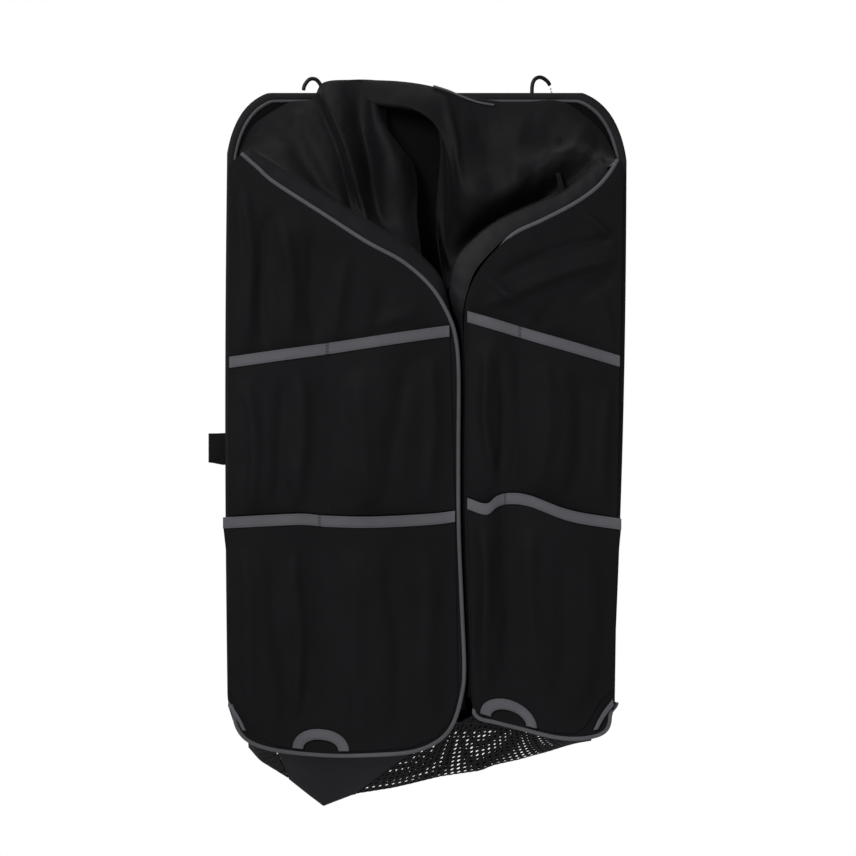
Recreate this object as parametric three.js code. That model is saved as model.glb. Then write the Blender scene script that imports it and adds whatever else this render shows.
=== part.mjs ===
// Skate bag, hung empty by two carabiners with its centre zipper half open.
// Millimetres. X to the right of the bag's front, -Y out of its front, Z up.
// The origin is the line the two carabiners hang from, midway between them.
import * as THREE from "three";
import { mergeVertices } from "three/addons/utils/BufferGeometryUtils.js";

// ---- driving dimensions -------------------------------------------------
const GAP = 0.3; // clearance between pieces that touch
const BACK_TOP = -22.5;
const BACK_BOTTOM = -975;
const BACK_LEFT = -299;
const BACK_RIGHT_TOP = 297;
const BACK_RIGHT_BOTTOM = 274;
const TOP_RADIUS = 78;
const BOTTOM_RADIUS = 52;
const BINDING_WIDTH = 10;
const EDGE_PIPING_WIDTH = 4.4;
const BACK_REAR = -8.3; // rear face of the back panel
const OUTER_THICK = 2;
const BOARD_THICK = 3;
const LINING_THICK = 1.5;
const GUSSET_REAR = -20.6; // rear edge of the gussets
const GUSSET_FRONT = -111; // front edge of the gussets
const FABRIC = 1.6; // gusset and pocket cloth, as a solid
const DOOR_BACK = -117; // rear face of the front doors
const DOOR_THICK = 2.4;
const DOOR_FRONT = DOOR_BACK - DOOR_THICK;
const LEFT_HINGE_X = -289;
const RIGHT_HINGE_X = 283;
const PIPING_RADIUS = 3.2;
const PIPING_Y = -118.2;
const POCKET_STAND = { upper: 9, lower: 12 }; // how far a pocket stands off its door
const POCKET_BINDING = 16;
const MOON_WIDTH = 41.5; // half width of a drain cut-out with its binding
const MOON_HEIGHT = 32;
const MOON_BAND = 15.5;
const ROD = 3; // carabiner rod radius
const LOOP_Z = -56; // the carabiners' lower bars, which the webbing loops turn on
const CARABINER_X = 170;
const LEFT_TILT = 20; // degrees that the left carabiner leans outwards

// ---- colours ------------------------------------------------------------
const COLOURS = {
  fabric: [0x1c1b1f, 0.75, 0],
  lining: [0x131316, 0.85, 0],
  board: [0x2a2a2c, 0.6, 0],
  binding: [0x29292c, 0.6, 0],
  edgePiping: [0x3a3a3d, 0.55, 0],
  piping: [0x4b4b4e, 0.55, 0],
  pocketTape: [0x545456, 0.6, 0],
  satin: [0x2c2c30, 0.45, 0],
  webbing: [0x0e0e10, 0.7, 0],
  mesh: [0x19191c, 0.8, 0],
  zipTape: [0x151517, 0.8, 0],
  nylon: [0x1a1a1c, 0.4, 0],
  blackMetal: [0x1d1d20, 0.35, 0.8],
  wire: [0xb4b6ba, 0.25, 1],
};

const group = new THREE.Group();

// ---- helpers ------------------------------------------------------------
function closed(geometry) {
  geometry.deleteAttribute("normal");
  geometry.deleteAttribute("uv");
  const merged = mergeVertices(geometry, 1e-3);
  const p = merged.attributes.position;
  const a = new THREE.Vector3();
  const b = new THREE.Vector3();
  const c = new THREE.Vector3();
  const kept = [];
  let volume = 0;
  for (let i = 0; i < merged.index.count; i += 3) {
    const t = [0, 1, 2].map((k) => merged.index.getX(i + k));
    if (new Set(t).size < 3) continue;
    kept.push(...t);
    a.fromBufferAttribute(p, t[0]);
    b.fromBufferAttribute(p, t[1]);
    c.fromBufferAttribute(p, t[2]);
    volume += a.dot(b.cross(c));
  }
  if (volume < 0) kept.reverse();
  merged.setIndex(kept);
  merged.computeVertexNormals();
  return merged;
}

function add(name, geometry, colour) {
  const [hex, roughness, metalness] = COLOURS[colour];
  const material = new THREE.MeshStandardMaterial({ color: hex, roughness, metalness });
  const mesh = new THREE.Mesh(closed(geometry), material);
  mesh.name = name;
  group.add(mesh);
}

const mix = (a, b, t) => a + (b - a) * t;
const clamp = (t) => Math.min(1, Math.max(0, t));
const smooth = (t) => clamp(t) ** 2 * (3 - 2 * clamp(t));

// A value read off a list of [key, value] pairs, straight between them.
function along(pairs, key) {
  if (key <= pairs[0][0]) return pairs[0][1];
  for (let i = 1; i < pairs.length; i += 1) {
    const [k0, v0] = pairs[i - 1];
    const [k1, v1] = pairs[i];
    if (key <= k1) return mix(v0, v1, (key - k0) / (k1 - k0));
  }
  return pairs[pairs.length - 1][1];
}

// A closed cloth of even thickness whose middle is place(u, v).
function sheet(thickness, nu, nv, place) {
  const box = new THREE.BoxGeometry(1, 1, 1, nu, 1, nv);
  const p = box.attributes.position;
  const step = 1e-3;
  for (let i = 0; i < p.count; i += 1) {
    const u = p.getX(i) + 0.5;
    const v = p.getZ(i) + 0.5;
    const [u0, u1] = [Math.max(0, u - step), Math.min(1, u + step)];
    const [v0, v1] = [Math.max(0, v - step), Math.min(1, v + step)];
    const du = place(u1, v).sub(place(u0, v));
    const dv = place(u, v1).sub(place(u, v0));
    const normal = du.cross(dv).normalize();
    const at = place(u, v).addScaledVector(normal, p.getY(i) * thickness);
    p.setXYZ(i, at.x, at.y, at.z);
  }
  return box;
}

// A plate lying in the XZ plane, from y = front to y = back, with round holes or cut-outs.
function plate(points, front, back, holes = []) {
  const turned = (list, clockwise) => {
    const flat = list.map(([x, z]) => new THREE.Vector2(x, z));
    return THREE.ShapeUtils.isClockWise(flat) === clockwise ? flat : flat.reverse();
  };
  const shape = new THREE.Shape(turned(points, false));
  shape.holes = holes.map((h) => new THREE.Path(turned(h, true)));
  const g = new THREE.ExtrudeGeometry(shape, { depth: back - front, bevelEnabled: false });
  g.applyMatrix4(new THREE.Matrix4().makeBasis(
    new THREE.Vector3(1, 0, 0),
    new THREE.Vector3(0, 0, 1),
    new THREE.Vector3(0, -1, 0),
  ));
  g.translate(0, back, 0);
  return g;
}

// A round rod of the given radius along a curve through the points.
function rod(points, radius, steps, sides = 6, tension = 0.5) {
  const path = new THREE.CatmullRomCurve3(
    points.map((q) => new THREE.Vector3(...q)), false, "catmullrom", tension);
  const ring = new THREE.Shape();
  for (let i = 0; i < sides; i += 1) {
    const t = (i * 2 * Math.PI) / sides;
    const [x, y] = [radius * Math.cos(t), radius * Math.sin(t)];
    if (i === 0) ring.moveTo(x, y);
    else ring.lineTo(x, y);
  }
  return new THREE.ExtrudeGeometry(ring, { steps, extrudePath: path, bevelEnabled: false });
}

// Corners [x, z, radius] in order, rounded into a point list.
function rounded(corners, segments = 7) {
  const out = [];
  const n = corners.length;
  for (let i = 0; i < n; i += 1) {
    const [x, z, r] = corners[i];
    const here = new THREE.Vector2(x, z);
    const before = new THREE.Vector2(...corners[(i + n - 1) % n].slice(0, 2)).sub(here).normalize();
    const after = new THREE.Vector2(...corners[(i + 1) % n].slice(0, 2)).sub(here).normalize();
    const start = here.clone().addScaledVector(before, r);
    const end = here.clone().addScaledVector(after, r);
    const arc = new THREE.QuadraticBezierCurve(start, here.clone().lerp(start.clone().lerp(end, 0.5), 0.12), end);
    out.push(...arc.getPoints(segments).map((q) => [q.x, q.y]));
  }
  return out;
}

function backOutline(inset) {
  const [r, s] = [TOP_RADIUS - inset * 0.55, BOTTOM_RADIUS - inset * 0.55];
  return rounded([
    [BACK_LEFT + inset, BACK_TOP - inset, r],
    [BACK_RIGHT_TOP - inset, BACK_TOP - inset, r],
    [BACK_RIGHT_BOTTOM - inset, BACK_BOTTOM + inset, s],
    [BACK_LEFT + inset, BACK_BOTTOM + inset, s],
  ]);
}

// ---- the back: cloth, board, lining and the two rings round their edge ----
const bindingInner = BINDING_WIDTH;
const pipingInner = bindingInner + GAP + EDGE_PIPING_WIDTH;
const panel = backOutline(pipingInner + GAP);
let y = BACK_REAR;
add("back_panel", plate(panel, y - OUTER_THICK, y), "fabric");
y -= OUTER_THICK + GAP;
add("back_stiffener_board", plate(panel, y - BOARD_THICK, y), "board");
y -= BOARD_THICK + GAP;
add("back_lining", plate(panel, y - LINING_THICK, y), "lining");
add("back_edge_binding", plate(backOutline(0), -17.5, -7.5, [backOutline(bindingInner)]), "binding");
add("back_edge_piping", plate(backOutline(bindingInner + GAP), -19, -7.5, [backOutline(pipingInner)]),
  "edgePiping");

// ---- the front doors ----
// Free edge of each door from its upper outer corner, down the V, the centre and the bottom.
const LEFT_EDGE = [
  [-274, -128], [-250, -149], [-226, -170], [-158, -214], [-91, -257], [-40, -285], [0, -320],
  [24, -358], [36, -395], [40, -450], [39.5, -560], [40, -665], [44, -770], [48, -870], [44, -911],
  [32, -950], [12, -973], [-25, -988], [-90, -993], [-151, -993], [-218, -986], [-254, -975],
  [-276, -956], [-288, -925],
];
const RIGHT_EDGE = [
  [279, -136], [266, -157], [246, -179], [215, -201], [169, -225], [124, -246], [96, -270],
  [72, -301], [58, -335], [54.5, -375], [55.5, -450], [55, -560], [55.5, -665], [59.5, -770],
  [63.5, -860], [65, -915], [74, -938], [97, -945], [133, -954], [181, -966], [216, -969],
  [246, -964], [261, -952], [269, -922],
];
const edgeCurve = (points) => new THREE.CatmullRomCurve3(
  points.map(([x, z]) => new THREE.Vector3(x, 0, z)), false, "catmullrom", 0.5);

function door(side, edge, hingeTop, hingeBottom) {
  const line = edgeCurve(edge).getPoints(60).map((q) => [q.x, q.z]);
  const outline = [...line, hingeBottom, hingeTop];
  add(`front_panel_${side}`, plate(outline, DOOR_FRONT, DOOR_BACK), "fabric");
}
// The piping lies just outside the panel's cut edge.
function grown(edge, by, sign) {
  const curve = edgeCurve(edge);
  const out = [];
  const n = 60;
  for (let i = 0; i <= n; i += 1) {
    const q = curve.getPoint(i / n);
    const t = curve.getTangent(i / n);
    out.push([q.x + sign * t.z * -by, PIPING_Y, q.z + sign * t.x * by]);
  }
  return out;
}
door("left", LEFT_EDGE, [LEFT_HINGE_X, -142], [LEFT_HINGE_X, -915]);
door("right", RIGHT_EDGE, [RIGHT_HINGE_X, -148], [271, -915]);
const pipingOut = PIPING_RADIUS + 1.3;
add("door_piping_left", rod(grown(LEFT_EDGE, pipingOut, 1), PIPING_RADIUS, 54), "piping");
add("door_piping_right", rod(grown(RIGHT_EDGE, pipingOut, -1), PIPING_RADIUS, 54), "piping");


// ---- centre gusset strips, zipper tapes and coils ----
// Stations down each door's edge: [x, z] at the piping, then the strip's far edge [x, y, z].
const LEFT_STRIP = [
  [[-262, -131], [-254, -113, -120]],
  [[-226, -163], [-212, -112, -146]],
  [[-154, -209], [-142, -111, -190]],
  [[-88, -250], [-76, -110, -231]],
  [[-37, -280], [-25, -108, -262]],
  [[4, -316], [15, -105, -302]],
  [[27.4, -357], [31.4, -101, -351]],
  [[39.5, -393], [43, -98.5, -391]],
  [[43.6, -450], [47.2, -97, -450]],
  [[43.1, -560], [46.7, -97, -560]],
  [[43.6, -665], [47.2, -97, -665]],
  [[47.6, -770], [51.2, -97, -770]],
  [[51, -868], [54.6, -97, -868]],
  [[48.5, -904], [54.2, -97, -905]],
  [[43.5, -931], [53.5, -97, -934]],
];
const RIGHT_STRIP = [
  [[262, -150], [252, -111, -134]],
  [[240, -178], [226, -110, -156]],
  [[208, -199], [197, -109, -180]],
  [[164, -222], [151, -108, -199]],
  [[119, -243], [102, -107, -222]],
  [[93, -266], [70, -106, -246]],
  [[68, -296], [42, -105, -279]],
  [[54.5, -334], [33, -103, -322]],
  [[51, -358], [38.6, -100, -352]],
  [[51, -382], [46.6, -98, -382]],
  [[52, -450], [50.6, -97, -450]],
  [[51.6, -560], [50.1, -97, -560]],
  [[52, -665], [50.6, -97, -665]],
  [[56, -770], [54.6, -97, -770]],
  [[60, -860], [58, -97, -862]],
  [[61, -914], [57.6, -97, -914]],
];
const STRIP_Y = -113.9;
const through = (points) => new THREE.CatmullRomCurve3(
  points.map((q) => new THREE.Vector3(...q)), false, "catmullrom", 0.5);

function zipperSide(side, stations, sign) {
  const near = through(stations.map(([[x, z]]) => [x, STRIP_Y, z]));
  const far = through(stations.map(([, q]) => q));
  const steps = 2 * (stations.length - 1);
  const across = (u, v, lift) => {
    const [a, b] = [near.getPoint(u), far.getPoint(u)];
    const over = b.clone().sub(a).normalize();
    const normal = far.getTangent(u).cross(over).normalize().multiplyScalar(sign * lift);
    return { a, b, over, normal };
  };
  add(`centre_strip_${side}`, sheet(1.2, steps, 1, (u, v) => {
    const { a, b } = across(u, v, 0);
    return a.lerp(b, v);
  }), "satin");
  add(`zipper_tape_${side}`, sheet(0.8, steps, 1, (u, v) => {
    const { b, over, normal } = across(u, v, 2.7);
    return b.addScaledVector(over, mix(-7.5, -0.5, v)).add(normal);
  }), "zipTape");
  const line = [];
  for (let i = 0; i <= steps; i += 1) {
    const { b, over, normal } = across(i / steps, 0, 0.7);
    line.push(b.addScaledVector(over, 1.9).add(normal).toArray());
  }
  add(`zipper_coil_${side}`, rod(line, 1, 40), "nylon");
}
zipperSide("left", LEFT_STRIP, -1);
zipperSide("right", RIGHT_STRIP, 1);

// ---- pockets ----
// Heights of the mouths and of the bottom hem across each door, as [x, z].
const LEFT = {
  side: "left",
  seams: { upper: -146, lower: -157 },
  outer: (z) => LEFT_HINGE_X + 1,
  inner: (z) => along([[360, 24], [395, 35], [450, 39], [665, 39], [770, 43], [870, 47], [911, 43]], -z),
  upper: [[-289, -420], [-146, -400], [3, -378], [38, -374]],
  lower: [[-299, -653], [-192, -647], [-146, -650], [-82, -651], [3, -647], [38, -643]],
  hem: [[-288, -904], [-276, -921], [-266, -938], [-257, -958], [-240, -973], [-218, -984],
    [-151, -991], [-90, -991], [-25, -986], [12, -971], [32, -948], [43, -911]],
  corner: [[[-257, -968], [-266, -949], [-276, -931], [-288, -913]],
    [[-264, -966], [-272, -951], [-281, -936], [-288, -925]]],
  flare: -9,
};
const RIGHT = {
  side: "right",
  seams: { upper: 133, lower: 111 },
  outer: (z) => 282 - ((-z - 148) * 12) / 767,
  inner: (z) => along([[335, 59], [375, 56], [450, 57], [665, 57], [770, 61], [860, 65], [915, 66]], -z),
  upper: [[56, -353], [133, -376], [284, -420]],
  lower: [[57, -624], [84, -632], [100, -621], [120, -617], [149, -621], [206, -642], [284, -656]],
  hem: [[66, -915], [75, -936], [97, -943], [133, -952], [181, -964], [212, -966], [229, -954],
    [238, -938], [250, -918], [268, -902]],
  corner: [[[235, -963], [244, -945], [255, -928], [268, -913]],
    [[243, -961], [251, -947], [260, -935], [269, -925]]],
  flare: 6,
};

function pocket(doorSide, level) {
  const { side, outer, inner, hem, flare } = doorSide;
  const mouth = doorSide[level];
  const seam = doorSide.seams[level];
  const lower = level === "lower";
  const z0 = along(mouth, outer(-500));
  const bottomZ = lower ? -920 : -640;
  const innerEnd = side === "left" ? mouth[mouth.length - 1] : mouth[0];
  const [xOut, xIn] = [outer(z0), inner(innerEnd[1] - 8)];
  const [xOutLow, xInLow] = [outer(bottomZ), inner(lower ? -911 : bottomZ)];
  const seamAt = (seam - xOut) / (xIn - xOut);
  const moon = MOON_WIDTH / Math.abs(xInLow - xOutLow);
  const columns = lower
    ? [0, 0.06, 0.13, 0.2].map((t) => (t / 0.2) * (seamAt - moon))
      .concat([-0.95, -0.8, -0.5, 0, 0.5, 0.8, 0.95].map((t) => seamAt + t * moon))
      .concat([0, 0.2, 0.4, 0.6, 0.8, 0.92, 1].map((t) => mix(seamAt + moon, 1, t)))
    : [0, 0.25, 0.5, 0.75, 1].map((t) => t * seamAt)
      .concat([0.2, 0.4, 0.6, 0.8, 1].map((t) => mix(seamAt, 1, t)));
  const spread = (u) => {
    const at = u * (columns.length - 1);
    const i = Math.min(columns.length - 2, Math.floor(at));
    return mix(columns[i], columns[i + 1], at - i);
  };
  const stand = (f) => {
    const t = f < seamAt ? f / seamAt : (f - seamAt) / (1 - seamAt);
    return POCKET_STAND[level] * Math.sin(Math.PI * clamp(t)) ** 2;
  };
  const notch = (f) => {
    const t = (f - seamAt) / moon;
    return lower && Math.abs(t) < 1 ? MOON_HEIGHT * Math.sqrt(1 - t * t) : 0;
  };
  const place = (thickness, top, drop) => (u, v) => {
    const f = spread(u);
    const xTop = mix(xOut, xIn, f);
    const xLow = mix(xOutLow, xInLow, f);
    const zTop = along(mouth, xTop) - top;
    const zLow = drop === null
      ? (lower ? along(hem, xLow) : along(doorSide.lower, xLow) + 2) + notch(f)
      : zTop - drop;
    const z = mix(zTop, zLow, v);
    const down = drop === null ? v : 0;
    const x = mix(xTop, xLow, down) + (lower ? flare * (1 - f) ** 6 * (1 - clamp(down * 3)) : 0);
    const off = stand(f) * (1 - smooth((down - 0.72) / 0.28));
    return new THREE.Vector3(x, DOOR_FRONT - GAP - thickness / 2 - off, z);
  };
  const nu = columns.length - 1;
  add(`${level}_pocket_${side}`, sheet(FABRIC, nu, 7, place(FABRIC, POCKET_BINDING + GAP, null)), "fabric");
  add(`${level}_pocket_binding_${side}`, sheet(3, nu, 1, place(3, 0, POCKET_BINDING)), "pocketTape");

  if (!lower) return;
  const cx = mix(xOutLow, xInLow, seamAt);
  const arch = (inset) => {
    const pts = [];
    for (let i = 0; i <= 12; i += 1) {
      const a = (Math.PI * i) / 12;
      pts.push([
        cx + (MOON_WIDTH - inset) * Math.cos(a),
        along(hem, cx + (MOON_WIDTH - inset) * Math.cos(a)) + (MOON_HEIGHT - inset) * Math.sin(a),
      ]);
    }
    return pts;
  };
  const ring = [...arch(1.2), ...arch(MOON_BAND).reverse()];
  add(`drain_binding_${side}`, plate(ring, DOOR_FRONT - GAP - 3, DOOR_FRONT - GAP), "pocketTape");
  const [above, below] = doorSide.corner;
  const corner = [...above, ...[...below].reverse()];
  add(`corner_binding_${side}`, plate(corner, DOOR_FRONT - GAP - 3, DOOR_FRONT - GAP), "pocketTape");
}
for (const doorSide of [LEFT, RIGHT]) {
  pocket(doorSide, "upper");
  pocket(doorSide, "lower");
}

// ---- gussets ----
// A cloth through a grid of points: rows from the outer corner to the middle, each from back to front.
function patch(rows, nu, nv) {
  const lines = rows.map(through);
  return sheet(FABRIC, nu, nv, (u, v) => through(lines.map((l) => l.getPoint(v).toArray())).getPoint(u));
}
const LEFT_TOP = [
  [[-281, -21, -114], [-280, -24, -112], [-276, -45, -122], [-268, -80, -129], [-262, -107, -134]],
  [[-262, -21, -64], [-260, -24, -60], [-250, -45, -100], [-225, -80, -140], [-208, -107, -160]],
  [[-205, -21, -40], [-203, -24, -34], [-190, -45, -85], [-160, -80, -155], [-140, -106, -204]],
  [[-152, -21, -36], [-148, -25, -7], [-132, -45, -60], [-100, -80, -160], [-76, -105, -243]],
  [[-105, -21, -36], [-101, -25, -3], [-86, -46, -48], [-62, -78, -140], [-32, -103, -272]],
  [[-62, -21, -36], [-54, -26, -6], [-64, -48, -72], [-46, -75, -130], [-8, -100, -296]],
];
const RIGHT_TOP = [
  [[280, -21, -120], [279, -24, -118], [276, -45, -128], [270, -80, -136], [264, -107, -142]],
  [[262, -21, -70], [260, -24, -66], [246, -45, -120], [236, -80, -160], [228, -106, -170]],
  [[200, -21, -44], [198, -24, -40], [185, -45, -110], [172, -75, -185], [165, -104, -204]],
  [[130, -21, -46], [128, -24, -42], [115, -42, -120], [105, -70, -205], [105, -102, -232]],
  [[62, -21, -42], [60, -24, -34], [50, -42, -110], [48, -70, -215], [64, -100, -264]],
  [[2, -21, -38], [0, -25, -14], [8, -42, -80], [14, -68, -190], [40, -97, -300]],
  [[-48, -21, -36], [-46, -24, -8], [-22, -44, -60], [4, -68, -150], [27, -95, -318]],
];
add("top_gusset_left", patch(LEFT_TOP, 12, 8), "fabric");
add("top_gusset_right", patch(RIGHT_TOP, 14, 8), "fabric");

function sideGusset(side, x, lean) {
  add(`side_gusset_${side}`, sheet(FABRIC, 8, 6, (u, v) => {
    const z = mix(-152, -928, u);
    const fold = mix(20, 68, smooth(u * 6)) - 38 * smooth(u * 6 - 5) + 4 * Math.sin(11 * u);
    const edge = x + lean * u + Math.sin(7 * u);
    return new THREE.Vector3(edge - Math.sign(x) * fold * Math.sin(Math.PI * v),
      mix(GUSSET_REAR, GUSSET_FRONT, v), z);
  }), "fabric");
}
sideGusset("left", -285, 3);
sideGusset("right", 279, -17);

const FOLD = [
  [-268, -990], [-247, -1015], [-204, -1043], [-154, -1084], [-112, -1067], [-51, -1057], [18, -1040],
  [77, -1032], [96, -1023], [135, -1014], [175, -1002], [204, -992], [218, -988], [244, -984],
];
// Height of the doors' bottom seam across both of them.
const SEAM = [
  [-288, -924], [-276, -954], [-254, -973], [-218, -984], [-151, -991], [-90, -991], [-25, -986],
  [12, -971], [75, -936], [97, -943], [133, -952], [181, -964], [216, -967], [246, -962], [260, -950],
];
// Each piece is bounded left and right by [x at the hems, x at the fold].
function bottomGusset(name, start, end, nu, colour) {
  add(name, sheet(FABRIC, nu, 4, (u, v) => {
    const folded = 1 - Math.abs(2 * v - 1);
    const x = mix(mix(start[0], start[1], folded), mix(end[0], end[1], folded), u);
    const hem = v < 0.5 ? -966 + 0.1 * Math.max(0, Math.abs(x) - 200) : along(SEAM, x) + 1;
    return new THREE.Vector3(x, mix(GUSSET_REAR, GUSSET_FRONT, v), mix(hem, along(FOLD, x), folded));
  }), colour);
}
bottomGusset("bottom_mesh_left", [-262, -264], [-228, -205], 3, "mesh");
bottomGusset("bottom_patch", [-226, -203], [-4, -113], 8, "fabric");
bottomGusset("bottom_mesh_right", [-2, -111], [240, 240], 12, "mesh");

// Thin piping on the right flank of the raised top, and the loose end of the zipper inside it.
add("top_gusset_piping", rod([
  [8, -28.8, -14], [30, -28.6, -21], [50, -28.4, -29.5], [74, -28.4, -38], [98, -28.4, -42.5],
], 1.6, 12), "edgePiping");
add("loose_tape_end", sheet(1, 10, 1, (u, v) => new THREE.Vector3(
  191 + 3 * Math.sin(9 * u) + mix(-3.5, 3.5, v), mix(-49, -82, u), mix(-92, -176, u))), "zipTape");

// ---- the side handle: a short loop of wide webbing sewn behind the left edge ----
const HANDLE = [-579, -530];
const handleOuter = [
  [-236, -7.2], [-236, -2.6], [-262, -2.4], [-284, 8], [-308, 13.6], [-322, 12], [-330, 5],
  [-328.6, -3], [-318, -6.2], [-302, -7.1],
];
const handleInner = [
  [-276, -4.8], [-286, 5.2], [-308, 11.2], [-321, 9.6], [-327.4, 4], [-326.4, -1.6], [-317, -3.8],
];
function upright(points, holes, from, to) {
  const shape = new THREE.Shape(points.map(([x, yy]) => new THREE.Vector2(x, yy)));
  if (THREE.ShapeUtils.isClockWise(shape.getPoints())) {
    shape.curves = [];
    points.reverse().forEach(([x, yy], i) => (i ? shape.lineTo(x, yy) : shape.moveTo(x, yy)));
  }
  shape.holes = holes.map((h) => {
    const flat = h.map(([x, yy]) => new THREE.Vector2(x, yy));
    return new THREE.Path(THREE.ShapeUtils.isClockWise(flat) ? flat : flat.reverse());
  });
  const g = new THREE.ExtrudeGeometry(shape, { depth: to - from, bevelEnabled: false });
  g.translate(0, 0, from);
  return g;
}
add("side_handle", upright(handleOuter, [handleInner], ...HANDLE), "webbing");

// ---- webbing loops on the back, and the carabiners that hang in them ----
function hangingLoop(side, x) {
  const outer = [];
  const inner = [];
  for (let i = 0; i <= 12; i += 1) {
    const a = Math.PI * (1.15 - (1.3 * i) / 12);
    outer.push([7.4 * Math.cos(a), 7.4 * Math.sin(a)]);
  }
  for (let i = 0; i < 14; i += 1) {
    const a = (2 * Math.PI * i) / 14;
    inner.push([5.5 * Math.cos(a), 5.5 * Math.sin(a)]);
  }
  outer.push([2, -10], [-3.6, -17], [-3.6, -62], [-7.9, -62], [-7.9, -12]);
  const g = plate(outer, -6, 6, [inner]);
  g.applyMatrix4(new THREE.Matrix4().makeRotationZ(Math.PI / 2));
  g.translate(x, 0, LOOP_Z);
  add(`hanging_loop_${side}`, g, "webbing");
}

// Centre-line of the right carabiner, from its gate foot round the spine to its nose, about its lower bar.
const CARABINER = [
  [18, 0, 17], [17.8, 0, 8], [14.5, 0, 2.2], [8, 0, 0], [0, 0, 0], [-8, 0, 0], [-12.2, 0, 2.6], [-13.6, 0, 9],
  [-14, 0, 30], [-13.6, 0, 46], [-10.4, 0, 55.2], [-4, 0, 59], [2.5, 0, 57.8], [9.4, 0, 52.6], [13.2, 0, 46.6],
];
const GATE = [[18, -4.4, 17.5], [17.2, -4.4, 26], [15.2, -4.2, 37], [14.2, -2.6, 41.4], [14, 0, 42],
  [14.2, 2.6, 41.4], [15.2, 4.2, 37], [17.2, 4.4, 26], [18, 4.4, 17.5]];
function carabiner(side, sign) {
  const tilt = side === "left" ? (LEFT_TILT * Math.PI) / 180 : 0;
  const set = (points) => points.map(([a, b, c]) => {
    const q = new THREE.Vector3(sign * a, b, c).applyAxisAngle(new THREE.Vector3(0, 1, 0), -tilt);
    return [q.x + sign * (CARABINER_X + (side === "left" ? -11.5 : 0)), q.y, q.z + LOOP_Z];
  });
  add(`carabiner_${side}`, rod(set(CARABINER), ROD, 36, 8), "blackMetal");
  add(`wire_gate_${side}`, rod(set(GATE), 0.9, 18, 6), "wire");
}
hangingLoop("left", -CARABINER_X + 11.5);
hangingLoop("right", CARABINER_X);
carabiner("left", -1);
carabiner("right", 1);

// ---- zipper slider and pull, hanging inside below the V ----
const SLIDER = [41.5, -93.6, -392];
function sliderProfile() {
  const outer = [[0, -7], [0, 7], [1.5, 7], [4.6, 4.6], [5, 3.6], [5, -3.6], [4.6, -4.6], [1.5, -7]];
  const inner = [[1.7, -3.2], [3.9, -3.2], [3.9, 3.2], [1.7, 3.2]];
  const g = plate(outer, -2, 2, [inner]);
  g.applyMatrix4(new THREE.Matrix4().makeRotationZ(Math.PI / 2));
  g.translate(...SLIDER);
  return g;
}
add("zip_slider", sliderProfile(), "nylon");
const PULL_Y = SLIDER[1] + 2.8;
const pullX = SLIDER[0];
const pullTop = SLIDER[2] + 0.6;
add("zip_pull", plate(
  [[-3.4, 0], [3.4, 0], [3.4, -10], [2.6, -32], [-2.6, -32], [-3.4, -10]].map(([a, c]) => [pullX + a, pullTop + c]),
  PULL_Y - 0.5, PULL_Y + 0.5,
  [[[-2.4, -1.4], [2.4, -1.4], [2.4, -8.6], [-2.4, -8.6]].map(([a, c]) => [pullX + a, pullTop + c])],
), "nylon");

export default group;
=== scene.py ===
import math

import bpy
import numpy as np
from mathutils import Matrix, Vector, noise


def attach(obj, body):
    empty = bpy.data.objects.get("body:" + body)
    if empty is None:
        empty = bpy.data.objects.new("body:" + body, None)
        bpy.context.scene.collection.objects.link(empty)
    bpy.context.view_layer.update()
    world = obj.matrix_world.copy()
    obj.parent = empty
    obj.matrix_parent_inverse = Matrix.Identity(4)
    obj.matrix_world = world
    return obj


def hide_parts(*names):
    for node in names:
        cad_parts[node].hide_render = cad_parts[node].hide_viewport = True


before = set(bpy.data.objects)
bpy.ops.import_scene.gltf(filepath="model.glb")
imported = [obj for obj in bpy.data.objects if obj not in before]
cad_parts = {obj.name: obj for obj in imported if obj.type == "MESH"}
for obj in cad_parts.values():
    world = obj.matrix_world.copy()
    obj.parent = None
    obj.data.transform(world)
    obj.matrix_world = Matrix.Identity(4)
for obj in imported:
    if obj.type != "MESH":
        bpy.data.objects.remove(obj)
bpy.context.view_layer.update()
mm = 0.001  # sizes below are in mm, meshes in metres
scene = bpy.context.scene


def lin(hexColour):  # sRGB hex to linear
    out = []
    for i in (0, 2, 4):
        c = int(hexColour[i:i + 2], 16) / 255
        out.append(c / 12.92 if c <= 0.04045 else ((c + 0.055) / 1.055) ** 2.4)
    return (*out, 1.0)


def shaded(colour, by):
    return tuple(c * by for c in colour[:3]) + (1,)


def catmull(points, n):  # a smooth line through the points
    p = np.array(points, float)
    m = len(p) - 1
    t = np.linspace(0, m, n)
    i = np.minimum(t.astype(int), m - 1)
    f = (t - i)[:, None]
    q = np.vstack([2 * p[0] - p[1], p, 2 * p[-1] - p[-2]])
    a, b, c, d = (q[i + k] for k in range(4))
    return 0.5 * (2 * b + (c - a) * f + (2 * a - 5 * b + 4 * c - d) * f ** 2 + (3 * b - a - 3 * c + d) * f ** 3)


def runAlong(path):  # distance from the path's start at each point
    return np.concatenate([[0], np.cumsum(np.linalg.norm(np.diff(path, axis=0), axis=1))])


def evenly(points, n):
    p = np.array(points, float)
    s = runAlong(p)
    t = np.linspace(0, s[-1], n)
    return np.stack([np.interp(t, s, p[:, k]) for k in range(p.shape[1])], 1)


def smooth(t):
    t = np.clip(t, 0, 1)
    return t * t * (3 - 2 * t)


def along(pairs, key):
    a = np.array(pairs, float)
    return np.interp(key, a[:, 0], a[:, 1])


def catmullAlong(pairs, key):  # like along, but smooth between the given points
    return along(catmull(pairs, 240), key)


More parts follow.
